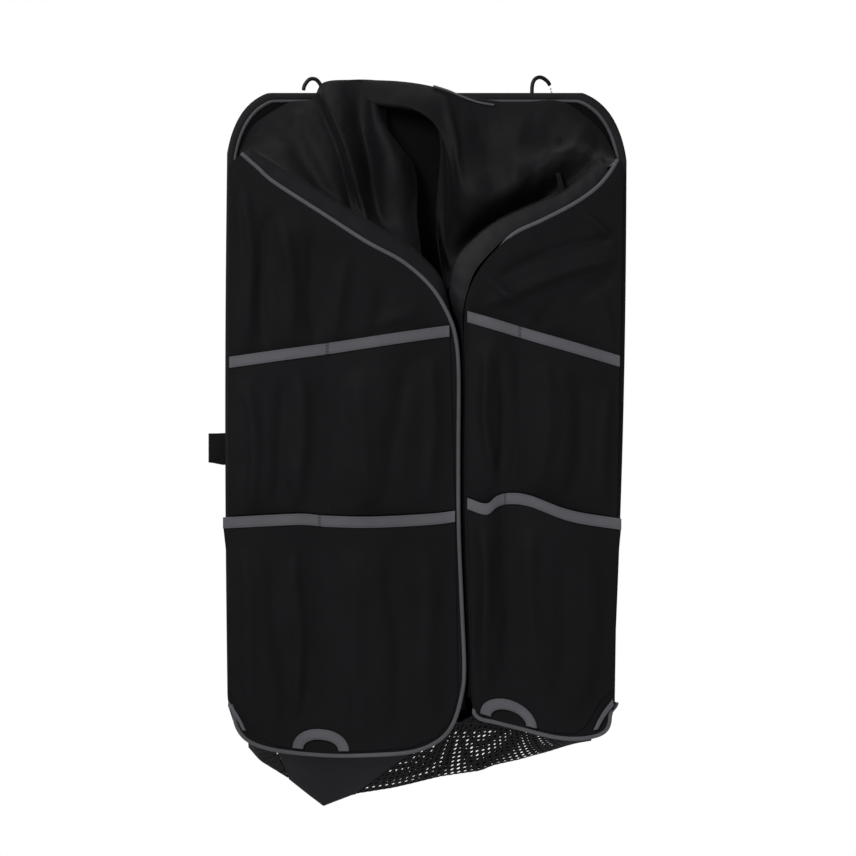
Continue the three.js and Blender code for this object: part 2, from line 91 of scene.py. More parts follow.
def lump(x, y, z, scale, seed=0.0):  # soft lumps from about -1 to 1, of the given size in mm on each axis
    pts = np.stack(np.broadcast_arrays(x / scale[0], y / scale[1], z / scale[2]), -1)
    out = np.array([noise.noise(Vector((a + seed, b - seed, c + 2 * seed))) for a, b, c in pts.reshape(-1, 3)])
    return out.reshape(pts.shape[:-1])


def standsFor(obj, body):  # shown in place of the CAD node that it is named for, and moves with the body
    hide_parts(obj.name.removesuffix("_made"))
    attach(obj, body)
    return obj


def layUV(mesh, uv):
    layer = mesh.uv_layers.new(name="cut")
    loops = np.zeros(len(mesh.loops), int)
    mesh.loops.foreach_get("vertex_index", loops)
    layer.data.foreach_set("uv", (np.asarray(uv)[loops] * mm).astype(np.float32).ravel())


def faceOut(mesh):
    co = np.zeros(len(mesh.vertices) * 3)
    mesh.vertices.foreach_get("co", co)
    mesh.calc_loop_triangles()
    t = np.zeros(len(mesh.loop_triangles) * 3, int)
    mesh.loop_triangles.foreach_get("vertices", t)
    a, b, c = (co.reshape(-1, 3)[t.reshape(-1, 3)[:, k]] for k in range(3))
    if np.einsum("ij,ij->i", a, np.cross(b, c)).sum() < 0:
        mesh.flip_normals()


def makeMesh(name, verts, faces, material, uv, sharp):
    name += "_made"
    mesh = bpy.data.meshes.new(name)
    mesh.from_pydata([tuple(v) for v in np.asarray(verts) * mm], [], faces)
    mesh.polygons.foreach_set("use_smooth", [True] * len(mesh.polygons))
    layUV(mesh, uv)
    mesh.set_sharp_from_angle(angle=math.radians(sharp))
    obj = bpy.data.objects.new(name, mesh)
    scene.collection.objects.link(obj)
    mesh.materials.append(material)
    mesh.validate()
    faceOut(mesh)
    return obj


def gridNormals(g):
    n = np.cross(np.gradient(g, axis=1), np.gradient(g, axis=0))
    return n / np.maximum(np.linalg.norm(n, axis=2, keepdims=True), 1e-9)


def gridUV(g):
    u = np.cumsum(np.linalg.norm(np.diff(g, axis=1, prepend=g[:, :1]), axis=2), axis=1)
    v = np.cumsum(np.linalg.norm(np.diff(g, axis=0, prepend=g[:1]), axis=2), axis=0)
    return np.stack([u, v], 2)


def area(g):  # of a grid of points, in square metres
    a, b, c, d = g[:-1, :-1], g[:-1, 1:], g[1:, 1:], g[1:, :-1]
    halves = (np.linalg.norm(np.cross(p - a, q - a), axis=2) for p, q in ((b, c), (c, d)))
    return float(sum(halves).sum() / 2) * 1e-6


def sheetMesh(name, g, thick, material, uv=None):  # a closed thin cloth round the grid of points g, rows by columns
    nv, nu = g.shape[:2]
    n = gridNormals(g) * thick / 2
    uv = gridUV(g) if uv is None else uv
    verts = np.concatenate([(g + n).reshape(-1, 3), (g - n).reshape(-1, 3)])
    i = np.arange(nv * nu).reshape(nv, nu)
    top = np.stack([i[:-1, :-1], i[1:, :-1], i[1:, 1:], i[:-1, 1:]], -1).reshape(-1, 4)
    faces = [tuple(q[::-1]) for q in top.tolist()] + [tuple(x + nv * nu for x in q) for q in top.tolist()]
    rim = np.concatenate([i[0, :], i[1:, -1], i[-1, -2::-1], i[-2:0:-1, 0]]).tolist()
    k = nv * nu
    faces += [(a, b, b + k, a + k) for a, b in zip(rim, rim[1:] + rim[:1])]
    return makeMesh(name, verts, faces, material, np.concatenate([uv.reshape(-1, 2)] * 2), sharp=50)


def loft(name, rings, uv, material, sharp, closed=False):  # a skin over rings of points, capped unless it closes
    n, k = rings.shape[:2]
    faces = [(i * k + m, (i + 1) % n * k + m, (i + 1) % n * k + (m + 1) % k, i * k + (m + 1) % k)
             for i in range(n if closed else n - 1) for m in range(k)]
    if not closed:
        faces += [tuple(range(k)), tuple(reversed(range((n - 1) * k, n * k)))]
    return makeMesh(name, rings.reshape(-1, 3), faces, material, np.stack(np.broadcast_arrays(*uv), -1).reshape(-1, 2),
                    sharp)


def tangents(path):
    t = np.gradient(path, axis=0)
    return t / np.maximum(np.linalg.norm(t, axis=1, keepdims=True), 1e-9)


def tube(name, path, radius, sides, material):  # a cord or rod, whose ring turns as little as possible
    t = tangents(path)
    side = np.zeros_like(t)
    first = np.cross(t[0], [0, 1, 0]) if abs(t[0][1]) < 0.9 else np.cross(t[0], [1, 0, 0])
    side[0] = first / np.linalg.norm(first)
    for k in range(1, len(t)):
        s = side[k - 1] - t[k] * side[k - 1].dot(t[k])
        side[k] = s / max(np.linalg.norm(s), 1e-9)
    up = np.cross(t, side)
    r = np.broadcast_to(np.asarray(radius, float), (len(path),))[:, None, None]
    a = np.linspace(0, 2 * np.pi, sides, endpoint=False)
    ring = side[:, None] * np.cos(a)[None, :, None] + up[:, None] * np.sin(a)[None, :, None]
    return loft(name, path[:, None] + ring * r, (runAlong(path)[:, None], a[None] * r[:, :, 0]), material, sharp=60)


def ribbon(name, path, across, width, thick, material):  # webbing or tape, its width along the vector across
    t = tangents(path)
    w = np.broadcast_to(np.asarray(across, float), t.shape)
    w = w - t * np.einsum("ij,ij->i", w, t)[:, None]
    w /= np.linalg.norm(w, axis=1, keepdims=True)
    up = np.cross(t, w)
    half = np.broadcast_to(np.asarray(width, float) / 2, (len(path),))[:, None, None]
    e = thick / 2
    section = np.array([(-1, 0), (-0.98, e), (-1 / 3, e), (1 / 3, e), (0.98, e), (1, 0), (0.98, -e), (1 / 3, -e),
                        (-1 / 3, -e), (-0.98, -e)])
    rings = path[:, None] + w[:, None] * section[None, :, :1] * half + up[:, None] * section[None, :, 1:]
    return loft(name, rings, (runAlong(path)[:, None], section[None, :, 0] * half[:, :, 0]), material, sharp=50)


def addNode(tree, kind, values=None, **settings):  # a node with its settings, and its inputs set or linked
    n = tree.nodes.new(kind)
    for key, value in settings.items():
        setattr(n, key, value)
    for key, value in (values or {}).items():
        if isinstance(value, bpy.types.NodeSocket):
            tree.links.new(value, n.inputs[key])
        else:
            n.inputs[key].default_value = value
    return n


def startMaterial(name):
    m = bpy.data.materials.new(name)
    m.use_nodes = True
    t = m.node_tree
    t.nodes.clear()
    shader = addNode(t, "ShaderNodeBsdfPrincipled")
    addNode(t, "ShaderNodeOutputMaterial", {0: shader.outputs[0]})
    return m, t, shader, addNode(t, "ShaderNodeTexCoord").outputs["Object"]


def ribs(t, coord, direction, pitch):  # parallel ribs of the given pitch in mm across U (X) or V (Y)
    return addNode(t, "ShaderNodeTexWave", {"Vector": coord, "Scale": 0.314159 / (pitch * mm), "Distortion": 0.0},
                   wave_type="BANDS", bands_direction=direction, wave_profile="SIN").outputs["Fac"]


def ramped(t, fac, low, high):  # low and high are (position, colour)
    ramp = addNode(t, "ShaderNodeValToRGB", {"Fac": fac})
    for stop, (position, colour) in zip(ramp.color_ramp.elements, (low, high)):
        stop.position, stop.color = position, colour
    return ramp.outputs[0]


def roughFrom(t, shader, fac, low, high):
    rough = addNode(t, "ShaderNodeMapRange", {"Value": fac, "To Min": low, "To Max": high})
    t.links.new(rough.outputs[0], shader.inputs["Roughness"])


weaveUsual = {"weftRatio": 1.0, "join": "MAXIMUM", "patchy": 0.18, "groove": 0.62, "sheen": 0.02, "specular": 0.14,
              "crumple": 14.0, "crumpleDepth": 0.4, "relief": 0.12, "strength": 0.5}


def clothMaterial(name, **given):  # woven cloth: pitch and crumple in mm; the colour is darkened between the threads, a painted shade whose depth the groove setting gives
    v = {**weaveUsual, **given}
    m, t, shader, place = startMaterial(name)
    uv = addNode(t, "ShaderNodeUVMap", uv_map="cut").outputs[0]
    warp, weft = ribs(t, uv, "X", v["pitch"]), ribs(t, uv, "Y", v["pitch"] * v["weftRatio"])
    weave = addNode(t, "ShaderNodeMath", {0: warp, 1: weft}, operation=v["join"]).outputs[0]
    cloud = addNode(t, "ShaderNodeTexNoise", {"Vector": place, "Scale": 7.0, "Detail": 5.0,
                                              "Roughness": 0.6}).outputs["Fac"]
    slub = addNode(t, "ShaderNodeTexNoise", {"Vector": uv, "Scale": 900.0, "Detail": 2.0}).outputs["Fac"]
    base = lin(v["colour"])
    dye = ramped(t, cloud, (0.3, shaded(base, 1 - v["patchy"])), (0.7, shaded(base, 1 + v["patchy"])))
    # painted shade: the dye is multiplied darker where the weave dips between threads
    between = addNode(t, "ShaderNodeMapRange", {"Value": weave, "To Min": v["groove"], "To Max": 1.12}).outputs[0]
    # 6, 7: colours
    tint = addNode(t, "ShaderNodeMix", {0: 1.0, 6: dye, 7: between}, data_type="RGBA", blend_type="MULTIPLY")
    t.links.new(tint.outputs[2], shader.inputs["Base Color"])
    roughFrom(t, shader, slub, v["rough"] - 0.07, v["rough"] + 0.08)
    shader.inputs["Sheen Weight"].default_value = v["sheen"]
    shader.inputs["Sheen Roughness"].default_value = 0.45
    shader.inputs["Specular IOR Level"].default_value = v["specular"]
    crumple = addNode(t, "ShaderNodeTexNoise", {"Vector": place, "Scale": 1000 / v["crumple"], "Detail": 4.0,
                                                "Roughness": 0.55}).outputs["Fac"]
    soft = addNode(t, "ShaderNodeBump", {"Height": crumple, "Distance": v["crumpleDepth"] * mm, "Strength": 1.0})
    fine = addNode(t, "ShaderNodeBump", {"Height": weave, "Distance": v["relief"] * mm, "Strength": v["strength"],
                                         "Normal": soft.outputs[0]})
    t.links.new(fine.outputs[0], shader.inputs["Normal"])
    return m


def hardMaterial(name, colour, rough, grain, depth, spread, worn=None, metal=0.0):  # depth of its grain in mm
    m, t, shader, place = startMaterial(name)
    speck = addNode(t, "ShaderNodeTexNoise", {"Vector": place, "Scale": grain, "Detail": 3.0}).outputs["Fac"]
    if worn:
        edge = addNode(t, "ShaderNodeNewGeometry").outputs["Pointiness"]
        tone = ramped(t, edge, (0.5, lin(colour)), (0.62, lin(worn)))
    else:
        tone = ramped(t, speck, (0.0, shaded(lin(colour), 0.85)), (1.0, shaded(lin(colour), 1.15)))
    t.links.new(tone, shader.inputs["Base Color"])
    shader.inputs["Metallic"].default_value = metal
    roughFrom(t, shader, speck, rough - spread, rough + 0.08)
    bump = addNode(t, "ShaderNodeBump", {"Height": speck, "Distance": depth * mm, "Strength": 0.4})
    t.links.new(bump.outputs[0], shader.inputs["Normal"])
    return m


# Woven polyester: flat black with a faint sheen, its weave drawn a little coarse so that it shows.
bodyCloth = clothMaterial("black_polyester_plain_weave", colour="100f12", pitch=0.7, rough=0.7, sheen=0.015)
pocketCloth = clothMaterial("black_polyester_pocket_cloth", colour="100f12", pitch=0.7, rough=0.68, sheen=0.015)
# thinner, so it creases more
gussetCloth = clothMaterial("black_polyester_gusset_cloth", colour="121114", pitch=0.6, rough=0.6,
                            crumple=18.0, crumpleDepth=0.8)
# coated, greyer and stiffer
patchCloth = clothMaterial("black_coated_polyester_patch", colour="1f1e22", pitch=0.8, rough=0.6,
                           crumple=10.0, crumpleDepth=0.9)
liningShadeCloth = clothMaterial("black_nylon_lining_darkened_as_shade", colour="050506", pitch=0.5, rough=0.85, sheen=0.0)  # near-black and dull: the lining's own black, darkened further as painted shade for the hollow seen between the top gusset halves
# long smooth floats
satinCloth = clothMaterial("charcoal_satin_strip", colour="19181b", pitch=0.45, weftRatio=2.5, rough=0.5,
                           relief=0.06, crumpleDepth=0.5)
# Grosgrain tapes: crosswise ribs that give a dull, even grey.
edgeTape = clothMaterial("dark_grosgrain_edge_tape", colour="202022", pitch=0.9, weftRatio=0.4, rough=0.6,
                         relief=0.15, join="MULTIPLY", groove=0.8)
greyTape = clothMaterial("grey_grosgrain_pocket_tape", colour="5e5e63", pitch=1.0, weftRatio=0.35, rough=0.62,
                         relief=0.15, groove=0.85, crumpleDepth=0.25)
# cloth round a cord
edgeCord = clothMaterial("dark_grey_piping_cloth", colour="55555a", pitch=0.5, rough=0.55, groove=0.8)
greyCord = clothMaterial("grey_piping_cloth", colour="59595d", pitch=0.5, rough=0.55, groove=0.8)
# coarse, deep weave
webbing = clothMaterial("black_polypropylene_webbing", colour="0d0d0f", pitch=1.6, weftRatio=1.3, rough=0.6,
                        relief=0.4, strength=0.9, groove=0.5, crumpleDepth=0.1)
# knitted threads
meshCloth = clothMaterial("black_warp_knit_mesh", colour="18181b", pitch=0.5, rough=0.7, crumpleDepth=0.2)
# dull twill
zipTape = clothMaterial("black_zipper_twill_tape", colour="141417", pitch=0.6, rough=0.75, crumpleDepth=0.15)
thread = clothMaterial("dark_bonded_thread", colour="232327", pitch=0.3, rough=0.5, crumpleDepth=0.02)  # slightly waxy
greyThread = clothMaterial("grey_bonded_thread", colour="47474b", pitch=0.3, rough=0.5, crumpleDepth=0.02)
# Moulded plastics: smooth with a fine grain. Anodised rod: dark, brighter where its edges wear. Wire: bright.
coilNylon = hardMaterial("black_extruded_nylon_coil", "1b1b1e", 0.35, 600.0, 0.05, 0.08)
mouldedNylon = hardMaterial("black_moulded_nylon", "17171a", 0.42, 600.0, 0.05, 0.08)
boardPlastic = hardMaterial("black_polyethylene_board", "242427", 0.55, 200.0, 0.05, 0.08)
blackMetal = hardMaterial("black_anodised_aluminium", "1c1c1f", 0.38, 420.0, 0.02, 0.06, worn="3a3a3e", metal=0.85)
wireMetal = hardMaterial("polished_steel_wire", "b9bbc0", 0.22, 420.0, 0.02, 0.06, worn="e2e4e8", metal=1.0)
print("materials done")


def newTree(name, sockets):
    tree = bpy.data.node_groups.new(name, "GeometryNodeTree")
    tree.interface.new_socket(name="Geometry", in_out="INPUT", socket_type="NodeSocketGeometry")
    for label in sockets:
        tree.interface.new_socket(name=label, in_out="INPUT", socket_type="NodeSocketFloat")
    tree.interface.new_socket(name="Material", in_out="INPUT", socket_type="NodeSocketMaterial")
    tree.interface.new_socket(name="Geometry", in_out="OUTPUT", socket_type="NodeSocketGeometry")
    return tree, addNode(tree, "NodeGroupInput").outputs


def endTree(tree, given, shape):
    real = addNode(tree, "GeometryNodeRealizeInstances", {0: shape})
    done = addNode(tree, "GeometryNodeSetMaterial", {"Geometry": real.outputs[0], "Material": given["Material"]})
    addNode(tree, "NodeGroupOutput", {"Geometry": done.outputs[0]})
    return tree


def dashTree():  # thread dashes along curves: Pitch apart, each Length long and Width thick
    tree, given = newTree("thread_dashes", ("Pitch", "Length", "Width"))
    curve = addNode(tree, "GeometryNodeMeshToCurve", {"Mesh": given["Geometry"]})
    points = addNode(tree, "GeometryNodeCurveToPoints", {"Curve": curve.outputs[0], "Length": given["Pitch"]},
                     mode="LENGTH")
    ball = addNode(tree, "GeometryNodeMeshUVSphere", {"Segments": 6, "Rings": 4, "Radius": 0.5})
    size = addNode(tree, "ShaderNodeCombineXYZ", {"X": given["Width"], "Y": given["Width"], "Z": given["Length"]})
    dash = addNode(tree, "GeometryNodeInstanceOnPoints", {"Points": points.outputs["Points"],
                                                          "Instance": ball.outputs["Mesh"],
                                                          "Rotation": points.outputs["Rotation"],
                                                          "Scale": size.outputs[0]})
    return endTree(tree, given, dash.outputs[0])


def holeTree():  # opens a hole of the given share in every face of a net, then rounds it off
    tree, given = newTree("net_holes", ("Hole share",))
    inner = addNode(tree, "GeometryNodeExtrudeMesh", {"Mesh": given["Geometry"], "Offset Scale": 0.0,
                                                      "Individual": True},
                    mode="FACES")
    scaled = addNode(tree, "GeometryNodeScaleElements", {"Geometry": inner.outputs["Mesh"],
                                                         "Selection": inner.outputs["Top"],
                                                         "Scale": given["Hole share"]}, domain="FACE")
    cut = addNode(tree, "GeometryNodeDeleteGeometry", {"Geometry": scaled.outputs[0],
                                                       "Selection": inner.outputs["Top"]},
                  domain="FACE")
    smoothed = addNode(tree, "GeometryNodeSubdivisionSurface", {"Mesh": cut.outputs[0], "Level": 1})
    return endTree(tree, given, smoothed.outputs[0])


dashes, holes = dashTree(), holeTree()


def repeated(name, verts, edges, faces, tree, values, solid=0.0, uv=None):  # a plain mesh of what the tree repeats
    mesh = bpy.data.meshes.new(name + "_seed")
    mesh.from_pydata([tuple(v) for v in np.asarray(verts) * mm], edges, faces)
    if uv is not None:
        layUV(mesh, uv)
    seed = bpy.data.objects.new(name + "_seed", mesh)
    scene.collection.objects.link(seed)
    mod = seed.modifiers.new("repeat", "NODES")
    mod.node_group = tree
    for item in tree.interface.items_tree:
        if item.in_out == "INPUT" and item.name in values:
            mod[item.identifier] = values[item.name]
    if solid:
        wall = seed.modifiers.new("thickness", "SOLIDIFY")
        wall.thickness, wall.offset = solid * mm, 0.0
    made = bpy.data.meshes.new_from_object(seed.evaluated_get(bpy.context.evaluated_depsgraph_get()))
    made.name = name + "_made"
    bpy.data.objects.remove(seed)
    made.polygons.foreach_set("use_smooth", [True] * len(made.polygons))
    if not made.materials:
        made.materials.append(values["Material"])
    if "cut" not in made.uv_layers:
        made.uv_layers.new(name="cut")
    obj = bpy.data.objects.new(name + "_made", made)
    scene.collection.objects.link(obj)
    return obj


sewn = {"Pitch": 3.2 * mm, "Length": 2.5 * mm, "Width": 0.55 * mm}
stitchLines = {}


def stitch(body, path, grey=False):
    stitchLines.setdefault((body, grey), []).append(evenly(path, max(4, len(path))))


def sewAll():
    for (body, grey), lines in sorted(stitchLines.items()):
        verts, edges = [], []
        for line in lines:
            k = len(verts)
            verts += [tuple(p) for p in line]
            edges += [(k + i, k + i + 1) for i in range(len(line) - 1)]
        name = f"stitching_{'grey' if grey else 'dark'}_{body}"
        obj = repeated(name, verts, edges, [], dashes, {**sewn, "Material": greyThread if grey else thread})
        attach(obj, body)


def rounded(corners, steps=14):  # each corner is (x, z, how far each way it starts to turn, how full it is)
    out = []
    for i, (x, z, (before, after), full) in enumerate(corners):
        here = np.array([x, z], float)
        back, on = (np.array(corners[k % len(corners)][:2]) - here for k in (i - 1, i + 1))
        a, b = here + before * back / np.linalg.norm(back), here + after * on / np.linalg.norm(on)
        mid = here * full + (a + b) * (1 - full) / 2
        for t in np.linspace(0, 1, steps + 1):
            out.append((1 - t) ** 2 * a + 2 * t * (1 - t) * mid + t * t * b)
    return np.array(out)


back = {"top": -22.5, "bottom": -975, "left": -299, "rightTop": 297, "rightBottom": 274,
        "topLeft": (90, 60), "topRight": (66, 100), "low": (52, 52), "binding": 10, "piping": 4.4}


def backOutline(inset, n=420):
    topLeft, topRight, low = ([r - 0.5 * inset for r in back[key]] for key in ("topLeft", "topRight", "low"))
    left, top, bottom = back["left"] + inset, back["top"] - inset, back["bottom"] + inset
    loop = rounded([(left, top, topLeft, 0.62), (back["rightTop"] - inset, top, topRight, 0.62),
                    (back["rightBottom"] - inset, bottom, low, 0.88), (left, bottom, low, 0.88)])
    loop = evenly(np.vstack([loop, loop[:1]]), n + 1)[:-1]
    t = np.clip((back["top"] - loop[:, 1]) / (back["top"] - back["bottom"]), 0, 1)
    loop[:, 0] += np.where(loop[:, 0] > 0, 6.5, -4.0) * np.sin(np.pi * t)  # the sides bow out a little
    return loop


# a cloth filling the inside of the piping: rings drawn in from the outline to a middle line
def backCloth(name, y, thick, material, bow):
    outer = backOutline(back["binding"] + back["piping"] + 0.4, 360)
    rings = []
    for f in np.linspace(1, 0.0, 26):
        x = outer[:, 0] * f + (1 - f) * -3
        z = (outer[:, 1] + 499) * (f * 0.52 + 0.48 * f ** 0.7 if f < 1 else 1) - 499
        rings.append(np.stack([x, z], 1))
    ring = np.array(rings)[:-1]
    x, z = ring[..., 0], ring[..., 1]
    edge = np.minimum(1, (1 - np.linspace(1, 0, 26)[:-1])[:, None] * 6)
    off = bow * edge * (0.6 * lump(x, x * 0, z, (150, 1, 240), 3) + 0.3 * lump(x, x * 0, z, (50, 1, 90), 9))
    yy = y + off
    n = outer.shape[0]
    verts, faces = [], []
    for side in (-1, 1):
        k = len(verts)
        verts += list(np.stack([x, yy + side * thick / 2, z], -1).reshape(-1, 3))
        verts.append((-3, float(yy[-1].mean()) + side * thick / 2, -499))
        for r in range(len(ring) - 1):
            for i in range(n):
                j = (i + 1) % n
                q = (k + r * n + i, k + r * n + j, k + (r + 1) * n + j, k + (r + 1) * n + i)
                faces.append(q if side < 0 else q[::-1])
        last = k + (len(ring) - 1) * n
        mid = k + len(ring) * n
        for i in range(n):
            t = (last + i, last + (i + 1) % n, mid)
            faces.append(t if side < 0 else t[::-1])
    k = len(ring) * n + 1
    for i in range(n):
        j = (i + 1) % n
        faces.append((i, i + k, j + k, j))
    v = np.array(verts)
    return standsFor(makeMesh(name, v, faces, material, v[:, [0, 2]], sharp=50), "bag")


def ringOf(name, insets, profile, material):  # a band round the back; profile points are (share of the way in, y)
    a, b = (backOutline(inset) for inset in insets)
    prof = np.array(profile, float)
    pts = a[:, None] * (1 - prof[None, :, :1]) + b[:, None] * prof[None, :, :1]
    rings = np.stack([pts[..., 0], np.broadcast_to(prof[None, :, 1], pts.shape[:2]), pts[..., 1]], -1)
    across = runAlong(prof * (insets[1] - insets[0], 1))
    standsFor(loft(name, rings, (runAlong(a)[:, None], across[None]), material, sharp=60, closed=True), "bag")


def buildBack():
    panel = backCloth("back_panel", -9.3, 1.6, bodyCloth, 0.5)
    # the lining's colour carries painted shade for the hollow behind the top gusset
    lining = backCloth("back_lining", -14.6, 1.0, liningShadeCloth, 0.4)
    for name, insets, front, crown, rear, material in (("back_edge_binding", (0.1, 10.0), -16.4, 1.0, -7.8, edgeTape),
                                                       ("back_edge_piping", (10.2, 14.8), -16.8, 2.2, -7.9, edgeCord)):
        sweep = [(t, math.sin(math.pi * t)) for t in np.linspace(0, 1, 11)]
        ringOf(name, insets, [(t, front - crown * h) for t, h in sweep] + [(1 - t, rear + 0.3 * h) for t, h in sweep],
               material)
    for inset, y in ((8.6, -17.0), (8.6, -7.6)):
        loop = backOutline(inset)
        stitch("bag", np.stack([loop[:, 0], np.full(len(loop), y), loop[:, 1]], 1))


buildBack()
print("back done")


doors = {
    "left": {
        "sign": -1, "hinge": [(-289, -142), (-289, -915)],
        "edge": [(-274, -128), (-250, -149), (-226, -170), (-158, -214), (-91, -257), (-40, -285), (0, -320),
                 (24, -358), (36, -395), (40, -450), (39.5, -560), (40, -665), (44, -770), (48, -870), (44, -911),
                 (32, -950), (12, -973), (-25, -988), (-90, -993), (-151, -993), (-218, -986), (-254, -975),
                 (-276, -956), (-288, -925)],
        "seams": {"upper": -146, "lower": -157}, "outer": lambda z: -288 + 0 * z,
        "inner": [(360, 24), (395, 35), (450, 39), (665, 39), (770, 43), (870, 47), (911, 43)],
        "upper": [(-289, -420), (-146, -400), (3, -378), (38, -374)],
        "lower": [(-299, -653), (-192, -647), (-146, -650), (-82, -651), (3, -647), (38, -643)],
        "hem": [(-288, -904), (-276, -921), (-266, -938), (-257, -958), (-240, -973), (-218, -984), (-151, -991),
                (-90, -991), (-25, -986), (12, -971), (32, -948), (43, -911)],
        "corner": [[(-264, -962), (-270, -949), (-278, -935), (-288, -920)],
                   [(-269, -960), (-275, -948), (-282, -937), (-289, -927)]],
        "flare": -9, "seed": 1.0,
    },
    "right": {
        "sign": 1, "hinge": [(283, -148), (271, -915)],
        "edge": [(279, -136), (266, -157), (246, -179), (215, -201), (169, -225), (124, -246), (96, -270), (72, -301),
                 (58, -335), (54.5, -375), (55.5, -450), (55, -560), (55.5, -665), (59.5, -770), (63.5, -860),
                 (65, -915), (74, -938), (97, -945), (133, -954), (181, -966), (216, -969), (246, -964), (261, -952),
                 (269, -922)],
        "seams": {"upper": 133, "lower": 111}, "outer": lambda z: 282 - ((-z - 148) * 12) / 767,
        "inner": [(335, 59), (375, 56), (450, 57), (665, 57), (770, 61), (860, 65), (915, 66)],
        "upper": [(56, -353), (133, -376), (284, -420)],
        "lower": [(57, -624), (84, -632), (100, -621), (120, -617), (149, -621), (206, -642), (284, -656)],
        "hem": [(66, -915), (75, -936), (97, -943), (133, -952), (181, -964), (212, -966), (229, -954), (238, -938),
                (250, -918), (268, -902)],
        "corner": [[(240, -961), (247, -946), (256, -931), (268, -916)],
                   [(246, -959), (253, -946), (260, -936), (269, -925)]],
        "flare": 6, "seed": 7.0,
    },
}

# Soft creases pressed into each door: start, end, half width, depth forwards, all in mm.
creases = {
    "left": [((-205, -232), (-196, -392), 11, 2.6), ((-172, -250), (-160, -392), 9, -2.4),
             ((-234, -215), (-240, -400), 10, -2.2), ((-120, -280), (-132, -390), 10, 2.0),
             ((-262, -180), (-258, -400), 9, 2.0), ((-60, -320), (-80, -385), 12, -1.8),
             ((-20, -350), (-70, -372), 9, 1.6)],
    "right": [((96, -335), (286, -272), 9, 2.6), ((110, -300), (282, -236), 8, -2.2),
              ((160, -370), (276, -300), 9, -2.0), ((82, -300), (150, -352), 7, 1.8),
              ((224, -215), (276, -260), 7, 2.0), ((250, -340), (276, -400), 8, 1.6)],
}
pocketFolds = {
    ("left", "upper"): [((-262, -430), (-250, -640), 9, 2.4), ((-216, -440), (-208, -640), 12, -2.6),
                        ((-100, -430), (-92, -640), 14, 2.0), ((-40, -420), (-54, -640), 12, -2.0),
                        ((8, -400), (4, -640), 10, 1.8), ((-180, -430), (-186, -640), 9, 2.0)],
    ("left", "lower"): [((-268, -670), (-252, -940), 10, 2.6), ((-228, -670), (-206, -960), 12, -2.4),
                        ((-110, -690), (-98, -980), 15, 2.2), ((-56, -680), (-40, -960), 12, -2.4),
                        ((-4, -670), (6, -940), 12, 2.2), ((-188, -680), (-188, -940), 8, 2.0)],
    ("right", "upper"): [((80, -390), (92, -600), 8, 2.2), ((108, -390), (104, -590), 8, -2.0),
                         ((172, -410), (168, -620), 12, 2.2), ((222, -430), (214, -630), 13, -2.4),
                         ((262, -440), (256, -630), 9, 2.4)],
    ("right", "lower"): [((78, -650), (86, -900), 8, 2.4), ((150, -650), (150, -900), 12, 2.2),
                         ((196, -670), (190, -930), 12, -2.4), ((240, -680), (228, -920), 11, 2.4)],
}


def pressed(x, z, lines):  # how far a cloth stands forward at each point because of its soft creases
    out = np.zeros_like(x)
    for (x0, z0), (x1, z1), half, depth in lines:
        d = np.array([x1 - x0, z1 - z0], float)
        length = np.hypot(*d)
        d /= length
        t = (x - x0) * d[0] + (z - z0) * d[1]
        across = (x - x0) * -d[1] + (z - z0) * d[0]
        across = across + 4 * np.sin(t / 37 + x0)
        ends = smooth((t + 25) / 60) * smooth((length + 25 - t) / 60)
        out += 2.6 * depth * ends * np.exp(-(across / half) ** 2)
    return out


def edgePath(d, by=0.0, n=400):
    p = catmull(d["edge"], 1500)
    p = evenly(p, n)
    if by:
        t = np.gradient(p, axis=0)
        t /= np.linalg.norm(t, axis=1, keepdims=True)
        p = p + d["sign"] * np.stack([t[:, 1], -t[:, 0]], 1) * by
    return p


# 0 at the door's free edge and hinge line, rising to 1 in from them, to calm the folds near a seam
def insideEdge(d, x, z):
    e = edgePath(d, 0, 160)
    gap = np.sqrt(((x[..., None] - e[:, 0]) ** 2 + (z[..., None] - e[:, 1]) ** 2)).min(-1)
    hinge = np.abs(x - np.interp(-z, [-d["hinge"][0][1], -d["hinge"][1][1]], [d["hinge"][0][0], d["hinge"][1][0]]))
    return smooth(np.minimum(gap, hinge) / 26)


panel = {"middle": -118.2, "thick": 1.7, "swell": 4.6, "ripple": 1.5, "back": 3.6, "forward": 9.0, "beyondSeam": 2.2,
         "flat": {"left": (0.34, 0.87), "right": (0.23, 0.83)}}
piping = {"radius": 3.0, "beyondSeam": 4.5, "stitchInside": 1.6, "rollsBack": 7.5}


